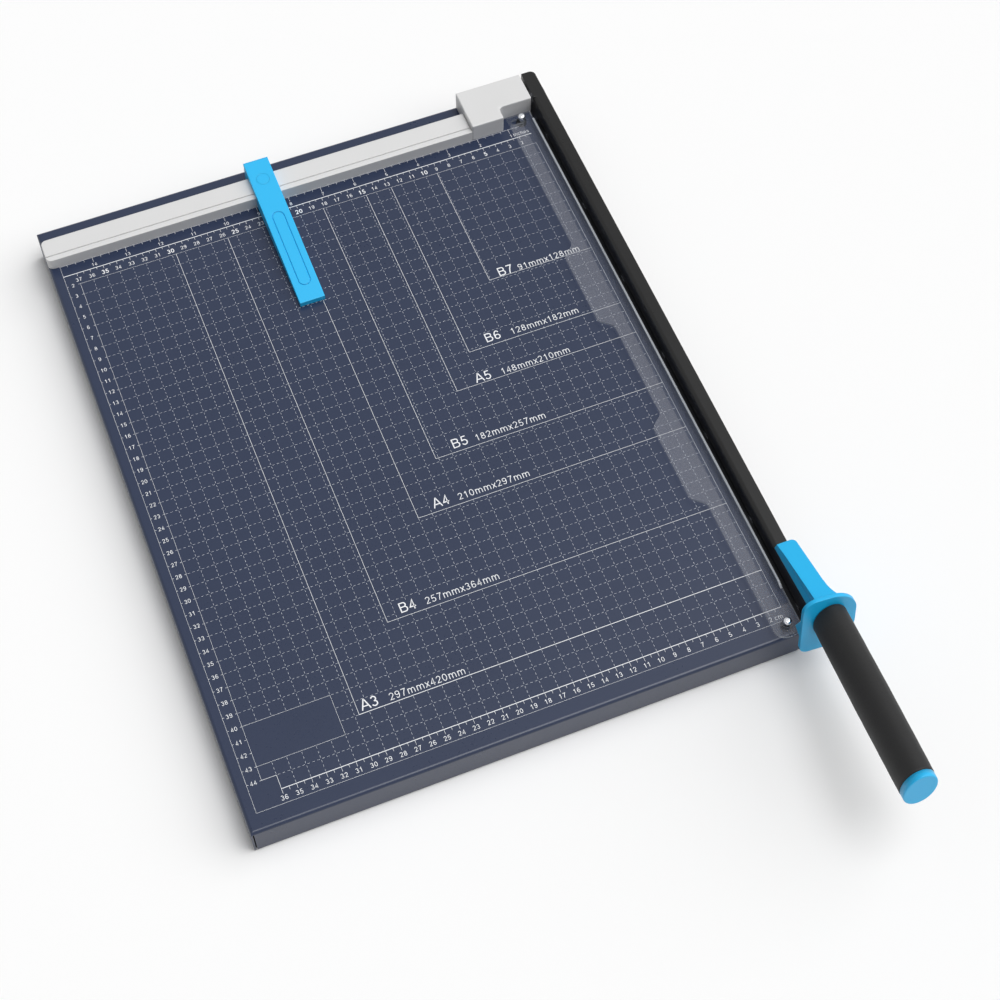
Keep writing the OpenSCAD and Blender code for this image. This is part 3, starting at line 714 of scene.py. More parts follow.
@dataclass(frozen=True)
class CutFrame:
    """The frame of the cut: zero at the cutting edge, the fence's face and the board's top."""

    zero: Vector

    @classmethod
    def found(cls) -> "CutFrame":
        """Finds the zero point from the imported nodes.

        Returns:
            The frame of the cut.
        """
        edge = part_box("lower_blade")[1].x
        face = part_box("rear_fence")[0].y
        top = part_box("base_board")[1].z
        return cls(Vector((edge, face, top)))

    def at(self, x: float, y: float, z: float) -> Vector:
        """Gives the point that is x right of the edge, y behind the fence and z above the board, in mm."""
        return self.zero + Vector((x, y, z)) * MM


def dress(material: bpy.types.Material, *nodes: str) -> None:
    """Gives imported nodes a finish.

    Args:
        material: The finish.
        nodes: The nodes' names.
    """
    for name in nodes:
        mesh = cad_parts[name].data
        mesh.materials.clear()
        mesh.materials.append(material)
        log.info("%s: %s", name, material.name)


def new_piece(
    name: str,
    points: Sequence[Sequence[float]],
    faces: Sequence[Sequence[int]],
    material: bpy.types.Material,
) -> bpy.types.Object:
    """Makes a mesh piece and puts it in the scene.

    Args:
        name: The piece's name.
        points: Its corners in metres in the shared frame.
        faces: Its faces as corner numbers.
        material: Its finish.

    Returns:
        The new object.
    """
    mesh = bpy.data.meshes.new(name)
    mesh.from_pydata([tuple(p) for p in points], [], [tuple(f) for f in faces])
    mesh.update()
    mesh.materials.append(material)
    made = bpy.data.objects.new(name, mesh)
    bpy.context.scene.collection.objects.link(made)
    return made


def skin(rings: int, segments: int, closed: bool) -> list[tuple[int, ...]]:
    """Joins rings of points, each to the next, with four-sided faces.

    Args:
        rings: How many rings there are.
        segments: How many points each ring has.
        closed: True to join the last ring to the first.

    Returns:
        The faces as point numbers.
    """
    faces = []
    for ring in range(rings if closed else rings - 1):
        here, after = ring * segments, (ring + 1) % rings * segments
        for step in range(segments):
            beside = (step + 1) % segments
            faces.append((here + step, here + beside, after + beside, after + step))
    return faces


class Stroke(Enum):
    """The widths of the printed lines in millimetres."""

    DASH = 0.165
    THIN = 0.155
    FINE = 0.21
    OUTLINE = 0.26
    PLAIN = 0.45
    HEAVY = 0.51


class Layer(Enum):
    """The heights of the printed layers in millimetres above the board, so that no two lie in one plane."""

    GRID = 0.05
    SCALES = 0.08
    OUTLINES = 0.12
    WORDS = 0.16


# How far a stroke lies above the one that it crosses, in millimetres
OVERPRINT = 0.01
# The smallest cosine that a bent stroke's corner is widened by, so that sharp corners stay blunt
MITRE_LEAST = 0.5
# The fewest steps of a curved stroke, and the degrees of each
BOW_LEAST = 4
BOW_STEP = 18
# The ruled units in millimetres
CM = 10.0
INCH = 25.4


class Weight(Enum):
    """The stroke of printed figures, as a share of their height."""

    LIGHT = 0.098
    PLAIN = 0.111
    BOLD = 0.16


@dataclass(frozen=True)
class Glyph:
    """One printed letter or figure, drawn as strokes in a box one unit high."""

    advance: float
    lines: tuple[Line, ...]


def bow(x: float, y: float, wide: float, high: float, start: float, end: float) -> Line:
    """Draws part of an ellipse.

    Args:
        x: Its middle across.
        y: Its middle up.
        wide: Its half width.
        high: Its half height.
        start: The first angle in degrees.
        end: The last angle in degrees.

    Returns:
        The points along it, closed where it goes all the way round.
    """
    count = max(BOW_LEAST, round(abs(end - start) / BOW_STEP))
    turns = [math.radians(start + (end - start) * i / count) for i in range(count + 1)]
    spots = [(x + wide * math.cos(turn), y + high * math.sin(turn)) for turn in turns]
    if abs(end - start) == 360:
        spots[-1] = spots[0]
    return tuple(spots)


def half_turned(lines: Sequence[Line], x: float, y: float) -> tuple[Line, ...]:
    """Turns strokes by half a turn about a point."""
    return tuple(tuple((2 * x - a, 2 * y - b) for a, b in line) for line in lines)


# The gap after a letter, and the room of a figure or a like letter, as shares of the height
GAP = 0.15
FIGURE = 0.776
# Strokes that more than one letter has
STEM = ((0.12, 0.0), (0.12, 0.73))
SIX = (bow(0.32, 0.30, 0.235, 0.24, 0, 360), bow(0.335, 0.5, 0.25, 0.44, 38, 190))
ARCH = bow(0.33, 0.43, 0.21, 0.25, 172, 0) + ((0.54, 0.0),)
GLYPHS: dict[str, Glyph] = {
    " ": Glyph(0.39, ()),
    "0": Glyph(FIGURE, (bow(0.31, 0.5, 0.25, 0.44, 0, 360),)),
    "1": Glyph(FIGURE, (((0.12, 0.73), (0.26, 0.79), (0.35, 0.95)), ((0.36, 1.0), (0.36, 0.0)))),
    "2": Glyph(FIGURE, (bow(0.31, 0.69, 0.235, 0.25, 168, -32) + ((0.10, 0.06), (0.57, 0.06)),)),
    "3": Glyph(FIGURE, (bow(0.30, 0.725, 0.205, 0.215, 160, -90), bow(0.30, 0.285, 0.24, 0.225, 90, -160))),
    "4": Glyph(FIGURE, (((0.43, 0.0), (0.43, 0.95), (0.07, 0.28), (0.60, 0.28)),)),
    "5": Glyph(FIGURE, (((0.53, 0.94), (0.17, 0.94), (0.11, 0.48)), bow(0.30, 0.32, 0.25, 0.26, 138, -155))),
    "6": Glyph(FIGURE, SIX),
    "7": Glyph(FIGURE, (((0.06, 0.94), (0.56, 0.94), (0.37, 0.58), (0.26, 0.25), (0.22, 0.0)),)),
    "8": Glyph(FIGURE, (bow(0.31, 0.735, 0.2, 0.205, 0, 360), bow(0.31, 0.295, 0.245, 0.235, 0, 360))),
    "9": Glyph(FIGURE, half_turned(SIX, 0.31, 0.5)),
    "A": Glyph(0.93, (((0.03, 0.0), (0.40, 0.98), (0.44, 0.98), (0.81, 0.0)), ((0.17, 0.33), (0.67, 0.33)))),
    "B": Glyph(
        0.93,
        (
            ((0.14, 0.0), (0.14, 1.0)),
            ((0.14, 0.94),) + bow(0.48, 0.735, 0.2, 0.205, 90, -90) + ((0.14, 0.53),),
            ((0.14, 0.53),) + bow(0.52, 0.295, 0.215, 0.235, 90, -90) + ((0.14, 0.06),),
        ),
    ),
    "c": Glyph(0.70, (bow(0.33, 0.37, 0.25, 0.31, 48, 312),)),
    "e": Glyph(FIGURE, (((0.09, 0.38), (0.58, 0.38)), bow(0.33, 0.37, 0.25, 0.31, 0, 318))),
    "h": Glyph(FIGURE, (((0.12, 0.0), (0.12, 1.0)), ARCH)),
    "i": Glyph(0.31, (STEM, ((0.12, 0.88), (0.12, 1.0)))),
    "m": Glyph(
        1.163,
        (
            STEM,
            bow(0.32, 0.43, 0.20, 0.25, 172, 0) + ((0.52, 0.0),),
            bow(0.73, 0.43, 0.20, 0.25, 172, 0) + ((0.93, 0.0),),
        ),
    ),
    "n": Glyph(FIGURE, (STEM, ARCH)),
    "s": Glyph(0.70, (bow(0.30, 0.53, 0.19, 0.15, 35, 262) + bow(0.31, 0.215, 0.21, 0.155, 85, -150),)),
    "x": Glyph(0.70, (((0.04, 0.0), (0.53, 0.73)), ((0.53, 0.0), (0.04, 0.73)))),
}


class InkSheet:
    """Collects flat printed shapes and makes one piece of them."""

    def __init__(self, cut: CutFrame, layer: Layer) -> None:
        """Starts an empty sheet of ink.

        Args:
            cut: The frame of the cut.
            layer: The printed layer that it makes.
        """
        self.cut = cut
        self.lift = layer.value
        self.points: list[Vector] = []
        self.faces: list[tuple[int, ...]] = []

    def _spot(self, u: float, v: float, over: int) -> Vector:
        """Places a point that is u to the left of the edge and v in front of the fence."""
        return self.cut.at(-u, -v, self.lift + over * OVERPRINT)

    def bar(self, start: Point, end: Point, width: float, over: int = 0) -> None:
        """Prints one straight stroke.

        Args:
            start: Its first end, as distances from the edge and the fence.
            end: Its second end.
            width: Its width in millimetres.
            over: How many strokes it lies over.
        """
        along = Vector(end) - Vector(start)
        side = along.orthogonal().normalized() * width / 2
        first = len(self.points)
        for spot, sign in ((start, 1), (start, -1), (end, -1), (end, 1)):
            self.points.append(self._spot(spot[0] + sign * side.x, spot[1] + sign * side.y, over))
        self.faces.append(self._faces_up(first))

    def _faces_up(self, first: int) -> tuple[int, ...]:
        """Orders four points so that their face looks up.

        Args:
            first: The number of the first of them.

        Returns:
            The face as point numbers.
        """
        a, b, c = (self.points[first + i] for i in range(3))
        up = (b - a).cross(c - b).z > 0
        order = range(first, first + 4)
        return tuple(order) if up else tuple(reversed(order))

    def dashes(self, start: Point, end: Point, step: float, share: float, keep: Keeper) -> None:
        """Prints a broken line with a dash on each step.

        Args:
            start: Its first end.
            end: Its second end.
            step: The distance from one dash to the next.
            share: How much of a step is ink.
            keep: Tells whether a dash may be printed at a point.
        """
        first = Vector(start)
        along = Vector(end) - first
        count = max(1, round(along.length / step))
        pace = along / count
        for i in range(count):
            middle = first + pace * (i + 0.5)
            if keep(tuple(middle)):
                reach = pace * share / 2
                self.bar(tuple(middle - reach), tuple(middle + reach), Stroke.DASH.value)

    def ribbon(self, line: Sequence[Point], width: float, closed: bool = False, over: int = 0) -> None:
        """Prints one bent stroke of even width.

        Args:
            line: The points along its middle, as distances from the edge and the fence.
            width: Its width in millimetres.
            closed: True to join its end to its start.
            over: How many strokes it lies over.
        """
        spots = [Vector(point) for point in line]
        count = len(spots)
        first = len(self.points)
        for i, spot in enumerate(spots):
            before = spots[i - 1] if i > 0 or closed else spot
            after = spots[(i + 1) % count] if i < count - 1 or closed else spot
            into, onward = spot - before, after - spot
            reach_in = (into if into.length else onward).normalized()
            reach_out = (onward if onward.length else into).normalized()
            side = (reach_in + reach_out).orthogonal().normalized()
            spread = width / 2 / max(MITRE_LEAST, side.dot(reach_in.orthogonal()))
            for sign in (1, -1):
                edge = spot + side * spread * sign
                self.points.append(self._spot(edge.x, edge.y, over))
        for i in range(count if closed else count - 1):
            near, far = first + 2 * i, first + 2 * ((i + 1) % count)
            self.faces.append((near, near + 1, far + 1, far))

    def word(
        self, text: str, at: Point, height: float, weight: Weight = Weight.PLAIN, middle: bool = True
    ) -> None:
        """Prints figures or a short word.

        Args:
            text: What is printed.
            at: The middle of the figures, or the left end of their foot.
            height: The figures' height in millimetres.
            weight: How bold they are.
            middle: True to centre the figures on the point.
        """
        glyphs = [GLYPHS[letter] for letter in text]
        run = sum(glyph.advance for glyph in glyphs) - GAP
        left = at[0] + run * height / 2 if middle else at[0]
        foot = at[1] + height / 2 if middle else at[1]
        for glyph in glyphs:
            for over, line in enumerate(glyph.lines):
                closed = line[0] == line[-1]
                spots = [(left - x * height, foot - y * height) for x, y in (line[:-1] if closed else line)]
                self.ribbon(spots, weight.value * height, closed, over)
            left -= glyph.advance * height

    def piece(self, name: str, material: bpy.types.Material) -> None:
        """Makes the piece, which stays on the board.

        Args:
            name: The piece's name.
            material: The ink.
        """
        made = new_piece(name, self.points, self.faces, material)
        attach(made, "base")
        log.info("%s: %d shapes in %s", name, len(self.faces), material.name)


@dataclass(frozen=True)
class SheetMark:
    """One printed paper outline with its two words, and the room that the grid leaves them."""

    code: str
    width: float
    height: float
    inset: float
    size_after: float
    foot: float
    foot_stroke: Stroke = Stroke.OUTLINE
    code_high: float = 7.6
    size_high: float = 5.33
    clear_left: float = 2.0
    clear_right: float = 1.0
    clear_high: float = 10.0
    clear_foot: float = 0.5

    @property
    def size(self) -> str:
        """Gives the paper's size in words."""
        return f"{self.width:.0f}mmx{self.height:.0f}mm"

    def holds(self, spot: Point) -> bool:
        """Tells whether a point lies behind the words.

        Args:
            spot: The point, as distances from the edge and the fence.

        Returns:
            True where the grid stays bare.
        """
        left = self.width - self.inset
        run = self.size_after + sum(GLYPHS[letter].advance for letter in self.size) * self.size_high
        across = left - run - self.clear_right < spot[0] < left + self.clear_left
        down = self.height - self.clear_high < spot[1] < self.height - self.clear_foot
        return across and down

    def print_on(self, sheet: InkSheet) -> None:
        """Prints the two words.

        Args:
            sheet: The sheet of ink that takes them.
        """
        left, foot = self.width - self.inset, self.height - self.foot
        sheet.word(self.code, (left, foot), self.code_high, middle=False)
        sheet.word(self.size, (left - self.size_after, foot), self.size_high, Weight.LIGHT, middle=False)


@dataclass(frozen=True)
class FigureRow:
    """One row of a scale's numbers, with every fifth one bold where it has a bold height."""

    first: int
    last: int
    step: float
    line: float
    height: float
    bold: Optional[float] = None
    bold_every: int = 5
    down: bool = False

    def print_on(self, sheet: InkSheet) -> None:
        """Prints the row.

        Args:
            sheet: The sheet of ink that takes it.
        """
        for number in range(self.first, self.last + 1):
            place = number * self.step
            at = (self.line, place) if self.down else (place, self.line)
            if self.bold and number % self.bold_every == 0:
                sheet.word(str(number), at, self.bold, Weight.BOLD)
            else:
                sheet.word(str(number), at, self.height)


@dataclass
class BoardPrint:
    """The scales, the squared grid and the paper outlines printed on the board.

    Sizes are in millimetres. A pair of ticks is the short one and the long one, apart from those
    of the side scale, which are the left one and the right one.
    """

    cut: CutFrame
    ink: bpy.types.Material
    faint: bpy.types.Material
    left: float = 380.0
    inner: float = 370.0
    right: float = 10.0
    end_gap: float = 1.0
    fence_line: float = 0.3
    cm_line: float = 10.0
    grid_top: float = 20.0
    notch_u: float = 360.0
    notch_v: float = 440.0
    notch_tail: float = 3.6
    foot_line: float = 450.0
    frame_line: float = 460.0
    cell_dashes: int = 3
    dash_share: float = 0.5
    first_row: int = 2
    last_row: int = 44
    inch_ticks: Span = (2.0, 4.4)
    cm_ticks: Span = (2.0, 2.8)
    foot_ticks: Span = (2.3, 3.4)
    side_ticks: Span = (1.2, 1.4)
    bare: tuple[float, float, float, float] = (310.0, 370.0, 400.0, 430.0)
    figures: tuple[FigureRow, ...] = (
        FigureRow(1, 14, INCH, 6.9, 2.9),
        FigureRow(2, 37, CM, 16.1, 3.2, bold=3.7),
        FigureRow(2, 44, CM, 375.4, 3.1, down=True),
        FigureRow(3, 36, CM, 456.3, 3.4),
    )
    units: tuple[tuple[str, Point, float], ...] = (
        ("inches", (23.4, 8.2), 3.2),
        ("2 cm", (21.7, 458.0), 3.4),
    )
    marks: tuple[SheetMark, ...] = (
        SheetMark("A3", 297, 420, 2.8, 19.4, 1.8, Stroke.PLAIN),
        SheetMark("B4", 257, 364, 10.35, 18.5, 2.9),
        SheetMark("A4", 210, 297, 12.8, 18.35, 3.0),
        SheetMark("B5", 182, 257, 14.05, 17.4, 3.05),
        SheetMark("A5", 148, 210, 15.4, 19.5, 1.2),
        SheetMark("B6", 128, 182, 14.5, 19.7, 3.0),
        SheetMark("B7", 91, 128, 7.9, 15.8, 0.4),
    )

    def build(self) -> None:
        """Prints everything."""
        self.print_scales()
        self.print_grid()
        self.print_outlines()
        self.print_figures()
        self.print_words()

    def print_scales(self) -> None:
        """Prints the ruled lines and their ticks."""
        sheet = InkSheet(self.cut, Layer.SCALES)
        thin, fine = Stroke.THIN.value, Stroke.FINE.value
        outline, heavy = Stroke.OUTLINE.value, Stroke.HEAVY.value
        sheet.bar((self.left, self.fence_line), (self.right + self.end_gap, self.fence_line), fine)
        sheet.bar((self.left, self.cm_line), (self.right, self.cm_line), heavy)
        sheet.bar((self.inner, self.grid_top), (self.right, self.grid_top), thin)
        sheet.bar((self.inner, self.notch_v), (self.notch_u, self.notch_v), outline)
        sheet.bar((self.notch_u, self.foot_line), (self.right, self.foot_line), heavy)
        sheet.bar((self.left, self.frame_line), (self.right, self.frame_line), thin)
        sheet.bar((self.left, 0), (self.left, self.frame_line), thin, over=1)
        sheet.bar((self.inner, self.grid_top), (self.inner, self.notch_v), thin, over=1)
        tail = self.foot_line + self.notch_tail
        sheet.bar((self.notch_u, self.notch_v), (self.notch_u, tail), outline, over=1)
        self.print_ticks(sheet, fine)
        sheet.piece("print_scales", self.ink)

    def print_ticks(self, sheet: InkSheet, width: float) -> None:
        """Prints the ticks of the four scales.

        Args:
            sheet: The sheet of ink that takes them.
            width: Their width in millimetres.
        """
        for quarter in range(1, round(4 * self.left / INCH)):
            u = quarter * INCH / 4
            if self.right + self.end_gap < u < self.left - self.end_gap:
                sheet.bar((u, 0), (u, self.inch_ticks[quarter % 4 == 0]), width, over=2)
        for half in range(round(2 * self.right / CM) + 1, round(2 * self.inner / CM) + 1):
            u = half * CM / 2
            whole = half % 2 == 0
            sheet.bar((u, self.cm_line), (u, self.cm_line + self.cm_ticks[whole]), width, over=2)
            if u < self.notch_u:
                sheet.bar((u, self.foot_line), (u, self.foot_line + self.foot_ticks[whole]), width, over=2)
        for row in range(self.first_row, self.last_row + 1):
            v = row * CM
            sheet.bar((self.left, v), (self.left - self.side_ticks[0], v), width, over=2)
            sheet.bar((self.inner, v), (self.inner + self.side_ticks[1], v), width, over=2)

    def _open(self, spot: Point) -> bool:
        """Tells whether a dash may be printed at a point, outside the bare box and the words.

        Args:
            spot: The point, as distances from the edge and the fence.

        Returns:
            True where the grid is printed.
        """
        low_u, high_u, low_v, high_v = self.bare
        boxed = low_u < spot[0] < high_u and low_v < spot[1] < high_v
        return not boxed and not any(mark.holds(spot) for mark in self.marks)

    def print_grid(self) -> None:
        """Prints the squared grid in dashes, with a plain line at its right side."""
        sheet = InkSheet(self.cut, Layer.GRID)
        step = CM / self.cell_dashes
        sheet.bar((self.right, self.grid_top), (self.right, self.foot_line), Stroke.DASH.value)
        for column in range(round(self.right / CM) + 1, round(self.inner / CM)):
            u = column * CM
            sheet.dashes((u, self.grid_top), (u, self.foot_line), step, self.dash_share, self._open)
        for row in range(round(self.grid_top / CM) + 1, round(self.foot_line / CM)):
            v = row * CM
            sheet.dashes((self.right, v), (self.inner, v), step, self.dash_share, self._open)
        sheet.piece("print_grid", self.faint)

    def print_outlines(self) -> None:
        """Prints the paper outlines and the bare box."""
        sheet = InkSheet(self.cut, Layer.OUTLINES)
        thin, outline = Stroke.THIN.value, Stroke.OUTLINE.value
        for mark in self.marks:
            sheet.bar((mark.width, self.grid_top), (mark.width, mark.height), outline, over=1)
            sheet.bar((mark.width, mark.height), (self.right, mark.height), mark.foot_stroke.value)
        low_u, high_u, low_v, high_v = self.bare
        for v in (low_v, high_v):
            sheet.bar((high_u, v), (low_u, v), thin)
        sheet.bar((low_u, low_v), (low_u, high_v), thin, over=1)
        sheet.piece("print_outlines", self.ink)

    def print_figures(self) -> None:
        """Prints the scales' numbers."""
        sheet = InkSheet(self.cut, Layer.WORDS)
        for row in self.figures:
            row.print_on(sheet)
        sheet.piece("print_figures", self.ink)

    def print_words(self) -> None:
        """Prints the paper codes, their sizes and the scales' units."""
        sheet = InkSheet(self.cut, Layer.WORDS)
        for mark in self.marks:
            mark.print_on(sheet)
        for unit, at, height in self.units:
            sheet.word(unit, at, height, middle=False)
        sheet.piece("print_words", self.ink)


@dataclass
class Tray:
    """The pressed board with its stiffening channels and feet."""

    coat: PowderCoat
    rubber: CastRubber

    def build(self) -> None:
        """Dresses the board, the channels and the feet."""
        dress(self.coat.material(), "base_board", "stiffener_channels")
        dress(self.rubber.material(), "rubber_feet")


@dataclass
class FenceAndHousing:
    """The paper fence along the back and the pivot's moulded cover."""

    plastic: MouldedPlastic

    def build(self) -> None:
        """Dresses the two mouldings."""
        dress(self.plastic.material(), "rear_fence", "pivot_housing")


@dataclass
class Hardware:
    """The pivot's bracket, bolts, washers and all small screws."""

    zinc: PlatedMetal
    chrome: PlatedMetal
    brass: PlatedMetal
    zinc_nodes: tuple[str, ...] = (
        "fence_screws",
        "housing_screws",
        "pivot_bracket",
        "bracket_bolts",
        "bracket_nuts",
        "pivot_bolt",
        "thrust_washer",
        "spring_washer",
        "pivot_nut",
        "lower_blade_screws",
        "blade_screws",
        "hand_guard_screws",
        "stop_screw",
    )

    def build(self) -> None:
        """Dresses the small metal parts."""
        dress(self.zinc.material(), *self.zinc_nodes)
        dress(self.chrome.material(), "guard_posts")
        dress(self.brass.material(), "pivot_bush")


@dataclass
class Blades:
    """The fixed lower blade and the curved upper blade."""

    steel: BlackedSteel

    def build(self) -> None:
        """Dresses both blades."""
        dress(self.steel.material(), "lower_blade", "upper_blade")


# The step in degrees of the search for the grip's longer axis
OVAL_STEP = 0.25
# How near the shorter axis a point of the grip's bore lies, as a share of the half height
BORE_BAND = 0.25


@dataclass(frozen=True)
class GripOval:
    """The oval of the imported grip: its place, its three directions and its sizes in metres."""

    middle: Vector
    along: Vector
    wide: Vector
    high: Vector
    half: float
    half_wide: float
    half_high: float
    wall: float

    def ring(self, place: float, inside: float, count: int) -> list[Vector]:
        """Draws an oval across the handle.

        Args:
            place: Its place along the axis.
            inside: How far it lies inside the sleeve's outline.
            count: How many points it has.

        Returns:
            Its points.
        """
        spots = []
        for step in range(count):
            angle = 2 * math.pi * step / count
            across = self.wide * ((self.half_wide - inside) * math.cos(angle))
            up = self.high * ((self.half_high - inside) * math.sin(angle))
            spots.append(self.middle + self.along * place + across + up)
        return spots

    def swept(self, section: Sequence[Point], count: int) -> list[Vector]:
        """Gives all the points of a section's ovals, each a place along the axis and a distance inside."""
        return [spot for place, inside in section for spot in self.ring(place, inside, count)]

    def reach(self, node: str) -> float:
        """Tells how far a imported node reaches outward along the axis."""
        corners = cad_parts[node].data.vertices
        return max((corner.co - self.middle).dot(self.along) for corner in corners)

    @classmethod
    def measured(cls, node: str) -> "GripOval":
        """Measures a packed sleeve.

        Args:
            node: The sleeve's name.

        Returns:
            Its oval.
        """
        points = np.array([corner.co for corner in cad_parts[node].data.vertices], float)
        middle = (points.min(0) + points.max(0)) / 2
        along = np.linalg.svd(points - middle, full_matrices=False)[2][0]
        along = along if along[1] < 0 else -along
        run = (points - middle) @ along
        side = np.array(Vector(along).orthogonal().normalized())
        other = np.cross(along, side)
        turns = np.radians(np.arange(0.0, 180.0, OVAL_STEP))
        ways = np.outer(np.cos(turns), side) + np.outer(np.sin(turns), other)
        reach = (points - middle) @ ways.T
        spans = (reach.max(0) - reach.min(0)) / 2
        high = ways[spans.argmax()]
        wide = np.cross(high, along)
        middle = middle + along * (run.max() + run.min()) / 2
        across, up = (points - middle) @ wide, (points - middle) @ high
        bore = np.abs(across)[np.abs(up) < spans.max() * BORE_BAND]
        half_wide = float(np.ptp(across) / 2)
        return cls(
            middle=Vector(middle),
            along=Vector(along),
            wide=Vector(wide),
            high=Vector(high),
            half=float(np.ptp(run) / 2),
            half_wide=half_wide,
            half_high=float(spans.max()),
            wall=half_wide - float(bore.min()),
        )


@dataclass
class SwingArm:
    """The arm, the moulded hand guard and the handle, with sizes in metres."""

    coat: PowderCoat
    blue: bpy.types.Material
    core: MouldedPlastic
    foam: FoamRubber
    segments: int = 128
    bend_steps: int = 8
    rings: int = 84
    round_over: float = 0.0016
    barrel: float = 0.0003
    ripples: tuple[Span, ...] = ((0.00006, 170.0), (0.00005, 63.0))
    cap_inset: float = 0.00055
    cap_round: float = 0.0008
    cap_gap: float = 0.00004
    dish: float = 0.00012
    dish_rings: int = 7
    dish_slope: int = 2

    def build(self) -> None:
        """Dresses the arm and makes the grip and its cap."""
        dress(self.coat.material(), "blade_arm", "handle_tang")
        dress(self.blue, "hand_guard")
        dress(self.core.material(), "handle_core")
        oval = GripOval.measured("grip")
        self.make_grip(oval)
        self.make_cap(oval)

    def bend(self) -> list[float]:
        """Gives the angles of a quarter turn in even steps."""
        return [math.pi / 2 * step / self.bend_steps for step in range(self.bend_steps + 1)]

    def profile(self, oval: GripOval) -> list[Point]:
        """Draws the sleeve's section from bore to bore.

        Args:
            oval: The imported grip's measures.

        Returns:
            Places along the axis, and how far the sleeve lies inside the oval there.
        """
        turn, half = self.round_over, oval.half
        start = [(-half + turn * (1 - math.cos(a)), turn * (1 - math.sin(a))) for a in self.bend()]
        end = [(-place, inside) for place, inside in reversed(start)]
        middle = []
        for ring in range(1, self.rings):
            place = (half - turn) * (2 * ring / self.rings - 1)
            middle.append((place, sum(rise * math.sin(place * pace) ** 2 for rise, pace in self.ripples)))
        outside = start + middle + end
        swollen = [(place, inside + self.barrel * (place / half) ** 2) for place, inside in outside]
        return [(-half, oval.wall), *swollen, (half, oval.wall)]

    def make_grip(self, oval: GripOval) -> None:
        """Sweeps the foam sleeve round the handle's oval.

        Args:
            oval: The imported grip's measures.
        """
        section = self.profile(oval)
        faces = skin(len(section), self.segments, closed=True)
        sleeve = new_piece("foam_grip", oval.swept(section, self.segments), faces, self.foam.material())
        sleeve.data.shade_smooth()
        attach(sleeve, "arm")
        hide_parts("grip")
        log.info("foam_grip: %d faces", len(faces))

    def make_cap(self, oval: GripOval) -> None:
        """Makes the end cap with a rounded rim and a slightly dished face.

        Args:
            oval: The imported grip's measures.
        """
        start, end = oval.half + self.cap_gap, oval.reach("end_cap")
        turn, edge = self.cap_round, self.cap_inset
        section = [(start, oval.wall), (start, edge)]
        section += [(end - turn * (1 - math.sin(a)), edge + turn * (1 - math.cos(a))) for a in self.bend()]
        for step in range(1, self.dish_rings):
            inside = edge + turn + (oval.half_wide - edge - turn) * step / self.dish_rings
            section.append((end - self.dish * min(1.0, step / self.dish_slope), inside))
        points = oval.swept(section, self.segments)
        back = tuple(reversed(range(self.segments)))
        face = tuple(range(len(points) - self.segments, len(points)))
        faces = [back, *skin(len(section), self.segments, closed=False), face]
        cap = new_piece("rounded_cap", points, faces, self.blue)
        cap.data.shade_smooth()
        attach(cap, "arm")
        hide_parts("end_cap")
        log.info("rounded_cap: %d faces", len(faces))


@dataclass
class HoldDown:
    """The clear strip that presses on the paper beside the cut, with sizes in millimetres."""

    cut: CutFrame
    band_u: float = 13.4
    band_front: float = 450.4
    edge_u: float = 4.2
    rib_from: float = 4.3

    def build(self) -> None:
        """Dresses the strip."""
        band = self.cut.at(-self.band_u, -self.band_front, self.rib_from)
        edge = self.cut.at(-self.edge_u, 0, 0)
        run = (band.y, self.cut.zero.y)
        dress(ClearSheet("clear_strip", band.x, run, edge.x, band.z).material(), "hold_down_strip")


@dataclass
class PaperStop:
    """The stop that slides along the fence, with its cap and the brake shoe inside."""

    blue: bpy.types.Material
    nylon: MouldedPlastic

    def build(self) -> None:
        """Dresses the stop, its cap and its shoe."""
        dress(self.blue, "paper_stop", "stop_cap")
        dress(self.nylon.material(), "brake_shoe")


@dataclass(frozen=True)
class SoftLamp:
    """One broad, far lamp: where it shines from, how wide it looks in degrees, and its power."""

    name: str
    at: Triple
    spread: float
    power: float
    away: float = 3.0

    def hang(self) -> None:
        """Hangs the lamp."""
        light = bpy.data.lights.new(self.name, "SUN")
        light.angle = math.radians(self.spread)
        light.energy = self.power
        lamp = bpy.data.objects.new(self.name, light)
        lamp.location = Vector(self.at) * self.away
        lamp.rotation_mode = "QUATERNION"
        lamp.rotation_quaternion = Vector(self.at).to_track_quat("Z", "Y")
        bpy.context.scene.collection.objects.link(lamp)
        log.info("%s: %.2f", self.name, self.power)


